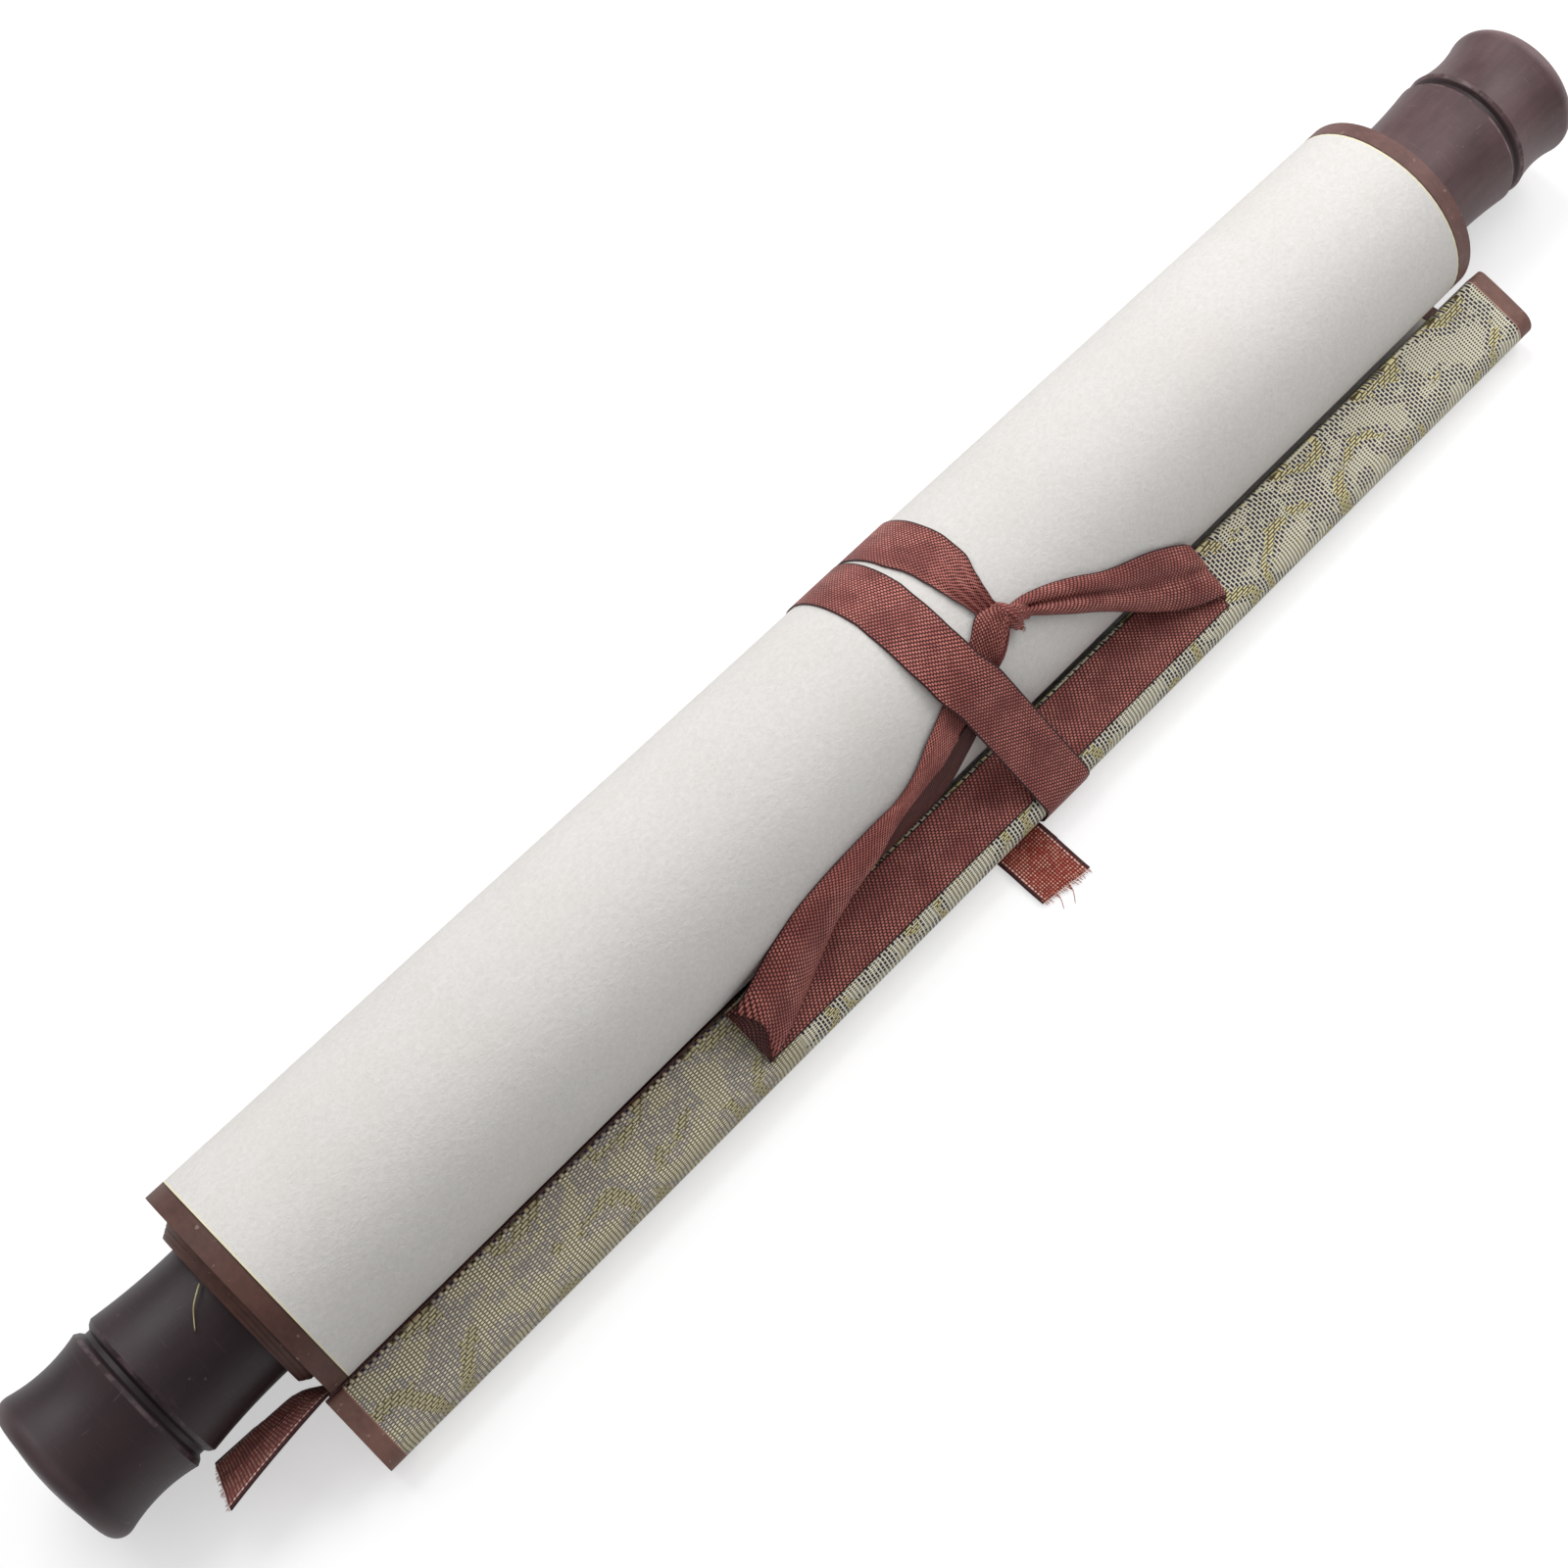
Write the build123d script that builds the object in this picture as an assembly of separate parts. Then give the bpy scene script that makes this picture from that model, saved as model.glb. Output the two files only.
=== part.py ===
from build123d import *
import os
from math import acos, asin, atan2, cos, degrees, hypot, pi, radians, sin

# A small blank hanging scroll, rolled up and tied with its ribbon. It lies on
# its side: X runs along the roll, the top rod leans against the -Y side, +Z is up.
# Millimetres and degrees.

# Sheet, which is paper backed and rolled with its white back outside
sheet_width = 300.0
sheet_thickness = 0.4
turn_gap = 0.12
core_radius = 14.5
tight_half_turns = 12
loose_radius_left = 21.45
loose_radius_right = 20.0
flat_spot = 1.6
binding_width = 3.8

# How the turns stand out at the left end, and lie deeper at the right end
sheet_shift = 2.0
telescope_step = 0.8
telescope_depth = 2.4
end_margin = 6.0

# Roller
dowel_clearance = 0.2
knob_length = 43.0
knob_end_radius = 11.6
knob_rim_radius = 14.8
knob_waist_radius = 13.9
knob_joint_radius = 14.0
knob_dome = 1.3
groove_from_end = 20.2
groove_width = 2.0
groove_depth = 1.2
groove_round = 0.8
knob_rim_round = 3.4
tenon_radius = 5.0
tenon_length = 14.0
tenon_clearance = 0.05

# Top rod, its brocade cover and its paper end caps
rod_overhang = 3.0
rod_width = 15.0
rod_thickness = 8.2
rod_crown = 1.1
rod_outer_top_round = 3.2
rod_outer_low_round = 2.2
rod_inner_round = 1.0
rod_shift = -0.6
lean = 25.0
nip_gap = 0.45
nip_clearance = 0.1
cover_thickness = 0.35
cover_clearance = 0.02
cap_width = 3.6
cap_thickness = 0.45
slit_spacing = 122.0
slit_width = 0.7
slit_length = 12.4
run_inset = 0.5
paste_gap = 0.03
sheet_end_turn = 48.0

# Ribbon
ribbon_width = 11.5
ribbon_thickness = 0.22
channel_clearance = 0.02
channel_side = 0.9
wrap_clearance = 0.15
pass_clearance = 1.1
knot_length = 8.4
knot_width = 6.0
knot_height = 4.6
knot_band = 3.4
knot_lobe = 3.8
knot_turn = 24.0
knot_x = 19.0
knot_across = 5.9
knot_drop = 0.1
wrap_under_x = 14.8
wrap_rod_x = 13.6
wrap_top_x = 6.0
tail_x = 1.4
tail_drift = 1.0
channel_back = 5.0
tail_length = 13.5
strand_gap = 0.25

os.makedirs("parts", exist_ok=True)

# Heights that follow from the stack on the table. The ribbon is pressed into the
# sheet's underside, so both lie on the table.
pitch = sheet_thickness + turn_gap
floor_line = sheet_thickness / 2
inner_line = floor_line + pitch
tight_radius = core_radius + tight_half_turns * pitch / 2
axis_z = inner_line + tight_radius
dowel_radius = core_radius - pitch / 2 - sheet_thickness / 2 - dowel_clearance
roll_left = -sheet_width / 2 - sheet_shift
roll_right = sheet_width / 2 - sheet_shift


def loose_radius(x):
    """Middle line of the loose outer turn at a place along the roll."""
    share = (x - roll_left) / sheet_width
    return loose_radius_left + share * (loose_radius_right - loose_radius_left)


def front_circle(x):
    """Centre height and radius of the loose turn's front half."""
    radius = (floor_line + 2 * loose_radius(x) - inner_line) / 2
    return inner_line + radius, radius


# The rod's own directions: across its width, away from the roll, and out of its face
def rod_point(x, across, out):
    """A point given about the roller's axis, in the leaning rod's directions."""
    a = radians(lean)
    y = -across * cos(a) - out * sin(a)
    z = axis_z - across * sin(a) + out * cos(a)
    return Vector(x, y, z)


def rod_vector(along, across, out):
    """A direction in the leaning rod's directions."""
    return rod_point(along, across, out) - rod_point(0, 0, 0)


# Outer size of the covered rod, and where its lower outer round meets the sheet. It
# stands clear of the loose turn's wider end.
skin = cover_thickness + cover_clearance
cover_width = rod_width + 2 * skin
cover_height = rod_thickness + 2 * skin
top_round = rod_outer_top_round + skin
low_round = rod_outer_low_round + skin
nip_z, nip_radius = front_circle(max(roll_left, roll_right, key=loose_radius))
nip_reach = flat_spot * cos(radians(lean)) - (nip_z - axis_z) * sin(radians(lean))
cover_inner = nip_reach + nip_radius + sheet_thickness / 2 + nip_gap
cover_outer = cover_inner + cover_width
low_centre_across = cover_outer - low_round
low_centre_z = sheet_thickness + paste_gap + low_round
low_centre_out = (low_centre_z - axis_z + low_centre_across * sin(radians(lean))) / cos(radians(lean))
cover_back = low_centre_out - low_round
cover_face = cover_back + cover_height
low_centre = rod_point(0, low_centre_across, low_centre_out)
top_centre = rod_point(0, cover_outer - top_round, cover_face - top_round)


def rod_section(x, inset):
    """Face across the rod at x: flat back, crowned front, rounded outer edge."""
    inner = cover_inner + inset
    outer = cover_outer - inset
    back = cover_back + inset
    face = cover_face - inset
    corners = [
        rod_point(x, inner, back),
        rod_point(x, outer, back),
        rod_point(x, outer, face),
        rod_point(x, inner, face - rod_crown),
    ]
    crown = rod_point(x, (inner + outer) / 2, face - rod_crown / 4)
    edges = [
        Line(corners[0], corners[1]),
        Line(corners[1], corners[2]),
        ThreePointArc(corners[2], crown, corners[3]),
        Line(corners[3], corners[0]),
    ]
    face_plain = Face(Wire(edges))
    rounds = {
        0: rod_inner_round + skin - inset,
        1: low_round - inset,
        2: top_round - inset,
        3: rod_inner_round + skin - inset,
    }
    for index, radius in rounds.items():
        near = face_plain.vertices().sort_by_distance(corners[index])[0]
        face_plain = face_plain.fillet_2d(radius, [near])
    return face_plain


# Rolled sheet: half circles between the lowest and highest line, from the
# pasted end under the rod to the dowel
def end_arc(x, grow):
    """One face of the pasted end round the rod's lower edge, and where it meets the table run."""
    end_radius = low_round + paste_gap + sheet_thickness / 2 + grow
    turn = radians(sheet_end_turn)
    places = [Vector(x, low_centre.Y - end_radius * sin(a), low_centre.Z - end_radius * cos(a))
              for a in (turn, turn / 2, 0)]
    return ThreePointArc(*places), places[0], places[2]


def half_turn(x, cy, cz, reach, side, rising):
    """Half circle from its lowest to its highest point, or back down."""
    step = reach if rising else -reach
    first = Vector(x, cy, cz - step)
    last = Vector(x, cy, cz + step)
    return ThreePointArc(first, Vector(x, cy + side * reach, cz), last), first, last


def loose_path(x, grow):
    """One face of the sheet from its pasted end to under the tight roll."""
    end, tip, under = end_arc(x, grow)
    radius = loose_radius(x)
    front_z, front_radius = front_circle(x)
    back, low, high = half_turn(x, 0.0, floor_line + radius, radius + grow, 1, True)
    front, over, last = half_turn(x, -flat_spot, front_z, front_radius + grow, -1, False)
    join = Vector(x, -flat_spot / 2, last.Z)
    edges = [end, Line(under, low), back, Line(high, over), front, Line(last, join)]
    return edges, tip, join


def tight_path(x, grow):
    """One face of the tight turns, from under them to the dowel."""
    low = inner_line
    high = inner_line
    radius = tight_radius
    place = Vector(x, -flat_spot / 2, inner_line - grow)
    start = place
    edges = []
    for turn in range(tight_half_turns):
        rising = turn % 2 == 0
        centre = low + radius if rising else high - radius
        arc, first, last = half_turn(x, 0.0, centre, radius + grow, 1 if rising else -1, rising)
        if turn == 0:
            edges.append(Line(place, first))
        edges.append(arc)
        if rising:
            high = low + 2 * radius
        else:
            low = high - 2 * radius
        radius -= pitch / 2
        place = last
    return edges, start, place


def section_face(path, x):
    """The sheet's section between its two faces, along one part of its path."""
    outside, outside_start, outside_stop = path(x, sheet_thickness / 2)
    inside, inside_start, inside_stop = path(x, -sheet_thickness / 2)
    edges = outside + [Line(outside_stop, inside_stop)] + inside[::-1] + [Line(inside_start, outside_start)]
    return Face(Wire(edges))


def prism(face, length):
    """A face across the scroll, drawn out along +X."""
    return Solid(extrude(face, amount=length, dir=(1, 0, 0)).solids()[0].wrapped)


sheet_start = roll_left - end_margin
sheet_stop = roll_right + end_margin
loose_turn = loft([section_face(loose_path, sheet_start), section_face(loose_path, sheet_stop)], ruled=True)
tight_turns = prism(section_face(tight_path, sheet_start), sheet_stop - sheet_start)
sheet_solid = loose_turn + tight_turns
for channel_x in (wrap_under_x, tail_x + tail_drift / 2):
    channel_width = ribbon_width + 2 * channel_side
    channel_depth = ribbon_thickness + channel_clearance
    channel = Box(channel_width, 4 * ribbon_width + channel_back, 2 * channel_depth)
    sheet_solid = sheet_solid - Pos(channel_x, channel_back / 2 - 2 * ribbon_width, 0) * channel


def turn_slice(start, stop):
    """Revolved body that keeps the sheet between two lines along its width.

    The outer turn is straight. The tight turns stand out to the left, each one
    a little more than the last.
    """
    outside = tight_radius + sheet_thickness / 2 + turn_gap
    inside = outside - telescope_depth / telescope_step * pitch
    reach = 2 * (cover_outer + ribbon_width)
    profile = [(0.0, telescope_depth), (inside, telescope_depth), (outside, 0.0), (reach, 0.0)]
    points = [(start - depth, radius) for radius, depth in profile]
    points += [(stop - depth, radius) for radius, depth in reversed(profile)]
    outline = [Vector(x, 0, axis_z + radius) for x, radius in points]
    face = Face(Wire(Polyline(*outline, close=True).edges()))
    return revolve(face, axis=Axis((0, 0, axis_z), (1, 0, 0)), revolution_arc=360)


rolled_sheet = sheet_solid & turn_slice(roll_left + binding_width, roll_right - binding_width)
left_binding = sheet_solid & turn_slice(roll_left, roll_left + binding_width)
right_binding = sheet_solid & turn_slice(roll_right - binding_width, roll_right)


# Roller: a dowel with a turned knob let into each end
def rim_bend(start, end):
    """Where the knob's end rounds over, between its rim and its end face."""
    return (start + (end - start) * 0.82, knob_end_radius + (knob_rim_radius - knob_end_radius) * 0.72)


def knob():
    """Right knob, from its tenon at x < 0 to its domed end, turned as one outline."""
    groove = knob_length - groove_from_end
    lip = groove_width / 2
    shoulder = lip + groove_round
    rim_end = knob_length - knob_dome
    rim_start = rim_end - knob_rim_round
    dome_radius = (knob_end_radius ** 2 + knob_dome ** 2) / (2 * knob_dome)
    dome_turn = asin(knob_end_radius / dome_radius) / 2
    dome_middle = (knob_length - dome_radius * (1 - cos(dome_turn)), dome_radius * sin(dome_turn))
    shoulders = [(groove + side * shoulder, knob_rim_radius) for side in (-1, 1)]
    lips = [(groove + side * lip, knob_rim_radius - groove_round * 0.6) for side in (-1, 1)]
    roots = [(groove + side * lip * 0.45, knob_rim_radius - groove_depth) for side in (-1, 1)]
    waist = ((groove + shoulder + rim_start) / 2, knob_waist_radius)
    bend = rim_bend(rim_start, rim_end)
    outline = [
        *Polyline((knob_length, 0), (-tenon_length, 0), (-tenon_length, tenon_radius), (0, tenon_radius),
                  (0, knob_joint_radius)).edges(),
        ThreePointArc((0, knob_joint_radius), (groove * 0.45, knob_waist_radius), shoulders[0]),
        *Polyline(shoulders[0], lips[0], *roots, lips[1], shoulders[1]).edges(),
        ThreePointArc(shoulders[1], waist, (rim_start, knob_rim_radius)),
        ThreePointArc((rim_start, knob_rim_radius), bend, (rim_end, knob_end_radius)),
        ThreePointArc((rim_end, knob_end_radius), dome_middle, (knob_length, 0)),
    ]
    return revolve(Face(Wire(outline)), axis=Axis.X, revolution_arc=360)


dowel_length = sheet_width
dowel = Rot(0, 90, 0) * Cylinder(dowel_radius, dowel_length)
for end in (-1, 1):
    socket_length = tenon_length + tenon_clearance
    socket = Rot(0, 90, 0) * Cylinder(tenon_radius + tenon_clearance, socket_length)
    dowel = dowel - Pos(end * (dowel_length - socket_length) / 2, 0, 0) * socket
roller_dowel = Pos(0, 0, axis_z) * dowel
right_knob = Pos(dowel_length / 2, 0, axis_z) * knob()
left_knob = Pos(-dowel_length / 2, 0, axis_z) * Rot(0, 0, 180) * knob()

# Top rod with its cover, which is open at two slits, and its two caps
rod_length = sheet_width + 2 * rod_overhang
rod_left = rod_shift - rod_length / 2
rod_right = rod_shift + rod_length / 2
top_rod = prism(rod_section(rod_left + cap_thickness, skin), rod_length - 2 * cap_thickness)
cover_left = rod_left + cap_width
cover_length = rod_length - 2 * cap_width
cover = prism(rod_section(cover_left, 0), cover_length)
cover = cover - prism(rod_section(cover_left - 1, cover_thickness), cover_length + 2)
run_middle = cover_inner + run_inset + ribbon_width / 2
for side in (-1, 1):
    at = rod_point(side * slit_spacing / 2, run_middle, cover_face)
    slot = Box(slit_width, slit_length, 4 * cover_thickness)
    slot = Rot(lean, 0, 0) * slot
    cover = cover - Pos(at.X, at.Y, at.Z) * slot


def end_cap(side):
    """Paper cup over one end of the rod, flush with the cover."""
    start = rod_left if side < 0 else rod_right - cap_width
    hollow = rod_left + cap_thickness if side < 0 else rod_right - cap_width - 1
    depth = cap_width - cap_thickness + 1
    shell = prism(rod_section(start, 0), cap_width)
    return shell - prism(rod_section(hollow, cover_thickness), depth)


# Tie ribbon: twice round the roll and the rod
def tangent_normal(centre, radius, other, other_radius):
    """Direction of the outward normal of the belt line that runs over two circles."""
    dy, dz = other[0] - centre[0], other[1] - centre[1]
    return atan2(dz, dy) - acos((radius - other_radius) / hypot(dy, dz))


def arc_points(centre, radius, start, stop, count):
    """Points and normals along an arc, in the plane across the roll."""
    out = []
    for i in range(count + 1):
        a = start + (stop - start) * i / count
        out.append((centre[0] + radius * cos(a), centre[1] + radius * sin(a), a))
    return out


def over_front(x, extra):
    """From the roll's top over its front to the table, past the rod's outer edge."""
    front_z, front_radius = front_circle(x)
    centre = (-flat_spot, front_z)
    radius = front_radius + sheet_thickness / 2 + wrap_clearance
    top = (top_centre.Y, top_centre.Z)
    low = (low_centre.Y, low_centre.Z)
    top_reach = top_round + wrap_clearance
    low_reach = low_round + paste_gap + sheet_thickness + wrap_clearance
    leave = tangent_normal(centre, radius + extra, top, top_reach) % (2 * pi)
    side = tangent_normal(top, top_reach, low, low_reach) % (2 * pi)
    path = []
    steps = 5
    for i in range(steps + 1):
        a = pi / 2 + (leave - pi / 2) * i / steps
        r = radius + extra * i / steps
        path.append((centre[0] + r * cos(a), centre[1] + r * sin(a), a))
    path += arc_points(top, top_reach, leave, side, 5)
    path += arc_points(low, low_reach, side, 3 * pi / 2, 7)
    return path


def over_back(x, start, stop, count):
    """Over the roll's back, between two directions about its centre."""
    centre = (0.0, floor_line + loose_radius(x))
    radius = loose_radius(x) + sheet_thickness / 2 + wrap_clearance
    return arc_points(centre, radius, start, stop, count)


def on_table(path):
    """The same path, but pressed flat where it would dip below the table."""
    return [(y, z, a) if z > ribbon_thickness else (y, ribbon_thickness, underside) for y, z, a in path]


def with_x(path, start, stop):
    """Spread the places along the roll evenly over a path's length."""
    lengths = [0.0]
    for before, after in zip(path, path[1:]):
        lengths.append(lengths[-1] + hypot(after[0] - before[0], after[1] - before[1]))
    return [(start + (stop - start) * s / lengths[-1], *point) for s, point in zip(lengths, path)]


def strip(stations):
    """A flat ribbon: each station has a middle, a side direction, a normal, a width and a height."""
    sections = []
    for middle, across, normal, width, height in stations:
        half = across.normalized() * (width / 2)
        rise = normal.normalized() * height
        corners = [middle - half, middle + half, middle + half + rise, middle - half + rise]
        sections.append(Face(Wire(Polyline(*corners, close=True).edges())))
    return loft(sections, ruled=True)


def wrap_stations(points):
    """Stations of a ribbon that lies flat on a path round the roll, each drawn along X."""
    stations = []
    last = len(points) - 1
    for i, (x, y, z, a) in enumerate(points):
        before, after = points[max(i - 1, 0)], points[min(i + 1, last)]
        run = Vector(after[0] - before[0], after[1] - before[1], after[2] - before[2])
        width = ribbon_width * run.length / hypot(run.Y, run.Z)
        normal = Vector(0, cos(a), sin(a))
        stations.append((Vector(x, y, z), Vector(1, 0, 0), normal, width, ribbon_thickness))
    return stations


quarter = pi / 2
wrap_start = radians(127.0)
underside = 3 * pi / 2
first_back = on_table(over_back(knot_x, quarter, -quarter, 20))
wrap = with_x(arc_points((-flat_spot, front_circle(knot_x)[0]),
                         front_circle(knot_x)[1] + sheet_thickness / 2 + wrap_clearance,
                         wrap_start, quarter, 6), knot_x, knot_x + 0.4)
wrap += with_x(first_back, knot_x + 0.4, wrap_under_x + 0.3)
up_front = on_table(over_front(wrap_rod_x, pass_clearance)[::-1])
wrap += with_x(up_front, wrap_under_x - 0.3, wrap_top_x + 0.9)
second_back = on_table(over_back(wrap_top_x, quarter, -quarter, 20))
wrap += with_x(second_back, wrap_top_x + 0.4, tail_x + tail_drift)
wrap += [
    (tail_x, low_centre.Y, ribbon_thickness, underside),
    (tail_x + tail_drift, low_centre.Y - tail_length, ribbon_thickness, underside),
]
tie_ribbon = strip(wrap_stations(wrap))


def roll_front(x, across):
    """How far out the roll's front stands at a place across, in the rod's directions, and its slope."""
    centre_z, radius = front_circle(x)
    rise = centre_z - axis_z
    a = radians(lean)
    middle_across = flat_spot * cos(a) - rise * sin(a)
    middle_out = flat_spot * sin(a) + rise * cos(a)
    reach = radius + sheet_thickness / 2
    slope = asin((across - middle_across) / reach)
    return middle_out + reach * cos(slope), degrees(slope)


# Knot, tied round the hanging ribbon's two strands: a band between two lobes
def pillow(length, width, height):
    """A soft lump, rounded all over."""
    block = Box(length, width, height)
    return fillet(block.edges(), min(length, width, height) * 0.4)


knot_foot, knot_slope = roll_front(knot_x, knot_across)
knot_rise = wrap_clearance + knot_height / 2
knot_middle = rod_point(knot_x, knot_across + knot_rise * sin(radians(knot_slope)),
                        knot_foot + knot_rise * cos(radians(knot_slope)))
knot = pillow(knot_band, knot_width, knot_height)
for side in (-1, 1):
    lobe = pillow(knot_lobe, knot_width * 0.84, knot_height * 0.78)
    knot = knot + Pos(side * (knot_length - knot_lobe) / 2, 0, -knot_drop) * Rot(0, side * 4.0, 0) * lobe
knot_tilt = Rot(lean + knot_slope, 0, 0) * Rot(0, 0, knot_turn)
knot = Pos(knot_middle.X, knot_middle.Y, knot_middle.Z) * knot_tilt * knot
tie_ribbon = tie_ribbon + knot


# Hanging ribbon: from its loose tail through the nip to the left slit, along the
# rod's face, and back from both slits to the knot
def strand(points):
    """Stations in the rod's directions: x, across, out, width, and the tilt of its face."""
    stations = []
    for x, across, out, width, tilt in points:
        a = radians(tilt)
        side = rod_vector(0, cos(a), -sin(a))
        normal = rod_vector(0, sin(a), cos(a))
        stations.append((rod_point(x, across, out), side, normal, width, ribbon_thickness))
    return strip(stations)


run_out = cover_face - rod_crown / 4 + paste_gap
run_tilt = -degrees(atan2(rod_crown, cover_width))
run_end = slit_spacing / 2 - slit_width / 2
knot_end = knot_length / 2 + strand_gap / 2
climb = knot_foot - run_out


def in_air(x_share, across_share, climb_share, width_share, tilt):
    """A station between slit and roll, in shares of the run's half, its middle, the climb and the width."""
    return (x_share * run_end, across_share * run_middle, run_out + climb_share * climb,
            width_share * ribbon_width, tilt)


def on_roll(x, across_share, width_share):
    """A station of a strand that lies on the roll's front."""
    across = across_share * run_middle
    out, slope = roll_front(x, across)
    return (x, across, out + strand_gap, width_share * ribbon_width, slope)


flat_run = strand([(x, run_middle, run_out, ribbon_width, run_tilt) for x in (-run_end, run_end)])
left_strand = strand([
    (-run_end, run_middle, run_out, ribbon_width, run_tilt),
    in_air(-0.92, 0.96, 0.06, 0.96, 6),
    in_air(-0.82, 0.88, 0.17, 0.90, 25),
    in_air(-0.68, 0.78, 0.35, 0.76, 42),
    in_air(-0.45, 0.68, 0.53, 0.50, 50),
    on_roll(-0.15 * run_end, 0.52, 0.38),
    on_roll(0.05 * run_end, 0.41, 0.35),
    on_roll(knot_x - knot_end, 0.26, 0.31),
])
right_strand = strand([
    on_roll(knot_x + knot_end, 0.25, 0.33),
    on_roll(0.51 * run_end, 0.38, 0.56),
    in_air(0.64, 0.56, 0.79, 0.74, 42),
    in_air(0.79, 0.75, 0.44, 0.88, 42),
    in_air(0.92, 0.91, 0.12, 0.96, 16),
    (run_end, run_middle, run_out, ribbon_width, run_tilt),
])
nip_place = cover_inner - nip_clearance - ribbon_thickness
nip_out = run_out - ribbon_width / 2 + strand_gap
tail_drop = ribbon_width / 5
tail_shift = tail_drop / 3
free_length = 2 * ribbon_width
tail = strand([
    in_air(-0.80, 0.86, 0.19, 0.36, 60),
    (-0.86 * run_end, nip_place, run_out + tail_drop / 2, 0.5 * ribbon_width, 90),
    (-0.96 * run_end, nip_place, nip_out + tail_drop, 0.8 * ribbon_width, 90),
    (-1.12 * run_end, nip_place, nip_out, ribbon_width, 90),
    (roll_left, nip_place, nip_out, ribbon_width, 90),
    (roll_left - 0.3 * free_length, nip_place - tail_shift, nip_out, ribbon_width, 80),
    (roll_left - 0.65 * free_length, nip_place - 2 * tail_shift, nip_out - tail_shift, ribbon_width, 66),
    (roll_left - free_length, nip_place - 2 * tail_shift, nip_out - 2 * tail_shift, ribbon_width, 50),
])
hanging_ribbon = flat_run + left_strand + right_strand + tail

nodes = {
    "roller_dowel": roller_dowel,
    "left_knob": left_knob,
    "right_knob": right_knob,
    "rolled_sheet": rolled_sheet,
    "left_edge_binding": left_binding,
    "right_edge_binding": right_binding,
    "top_rod": top_rod,
    "rod_brocade_cover": cover,
    "rod_left_end_cap": end_cap(-1),
    "rod_right_end_cap": end_cap(1),
    "hanging_ribbon": hanging_ribbon,
    "tie_ribbon": tie_ribbon,
}

# The origin is under the middle of the whole scroll, on the table
whole = Compound(children=[Compound(solid.solids()) for solid in nodes.values()]).bounding_box()
to_origin = Location((-(whole.min.X + whole.max.X) / 2, -(whole.min.Y + whole.max.Y) / 2, -whole.min.Z))
for name, shape in nodes.items():
    solids = [solid.moved(to_origin) for solid in shape.solids()]
    export_step(Compound(solids) if len(solids) > 1 else solids[0], f"parts/{name}.step")
    print(name, len(solids), round(shape.volume, 1))
print("ribbon, mm along its middle:", round(sum(
    (Vector(*b[:3]) - Vector(*a[:3])).length for a, b in zip(wrap, wrap[1:])), 1))
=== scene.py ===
import random
from math import acos, asin, atan2, cos, degrees, hypot, pi, radians, sin

import bpy
from mathutils import Matrix, Vector


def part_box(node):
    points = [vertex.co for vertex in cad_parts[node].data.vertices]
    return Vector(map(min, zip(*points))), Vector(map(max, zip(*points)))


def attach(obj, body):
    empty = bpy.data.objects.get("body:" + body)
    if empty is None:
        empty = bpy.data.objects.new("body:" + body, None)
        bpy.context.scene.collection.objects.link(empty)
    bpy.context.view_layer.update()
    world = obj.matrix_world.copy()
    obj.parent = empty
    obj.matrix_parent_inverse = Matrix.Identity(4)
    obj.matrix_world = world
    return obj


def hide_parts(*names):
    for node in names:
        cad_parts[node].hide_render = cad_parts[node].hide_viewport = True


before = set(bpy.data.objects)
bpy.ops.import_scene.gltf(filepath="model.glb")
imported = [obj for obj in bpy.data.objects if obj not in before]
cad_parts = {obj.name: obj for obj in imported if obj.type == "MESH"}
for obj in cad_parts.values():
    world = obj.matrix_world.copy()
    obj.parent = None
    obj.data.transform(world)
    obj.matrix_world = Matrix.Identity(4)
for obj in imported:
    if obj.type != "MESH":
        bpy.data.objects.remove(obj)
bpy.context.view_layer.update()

rng = random.Random(11)

# Directions and places, in millimetres about the roller's axis. The rod's broad
# face looks along OUT, and ACROSS runs from the roll to the rod's outer edge.
LEAN = radians(25.0)
ALONG = Vector((1, 0, 0))
ACROSS = Vector((0, -cos(LEAN), -sin(LEAN)))
OUT = Vector((0, -sin(LEAN), cos(LEAN)))
knob_low, knob_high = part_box("right_knob")
AXIS_Y = (knob_low.y + knob_high.y) / 2 * 1000
AXIS_Z = (knob_low.z + knob_high.z) / 2 * 1000


def place(x, across, out):
    """Metres in the scene from millimetres along, across and out."""
    p = Vector((x, AXIS_Y, AXIS_Z)) + ACROSS * across + OUT * out
    return p / 1000


# Sizes of the solids that the ribbons lie on, in millimetres. LOOSE_LEFT and LOOSE_RIGHT
# are the radius of the loose turn at its two ends, FLAT is the flat spot between its back
# and front halves, NIP_GAP is between roll and rod, PASTE_GAP is between the rod and the
# sheet's pasted end, and SKIN is what the cover adds to the wooden rod.
ROLL_LEFT, ROLL_WIDTH = -152.0, 300.0
LOOSE_LEFT, LOOSE_RIGHT = 21.45, 20.0
SHEET, RIBBON, GAP = 0.4, 0.22, 0.15
TURN_PITCH, NIP_GAP, PASTE_GAP = 0.52, 0.45, 0.03
FLOOR_LINE = SHEET / 2
INNER_LINE = FLOOR_LINE + TURN_PITCH
FLAT = 1.6
SKIN = 0.37
ROD_WIDTH, ROD_HEIGHT = 15.0 + 2 * SKIN, 8.2 + 2 * SKIN
TOP_ROUND, LOW_ROUND = 3.2 + SKIN, 2.2 + SKIN
CROWN = 1.1
RIBBON_WIDTH = 11.5
FACE_DOWN = 3 * pi / 2  # angle of a ribbon whose outer face looks down
PHOTO_TURN = radians(43.617)  # how far the roll is turned in the photograph


def loose_radius(x):
    return LOOSE_LEFT + (x - ROLL_LEFT) / ROLL_WIDTH * (LOOSE_RIGHT - LOOSE_LEFT)


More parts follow.
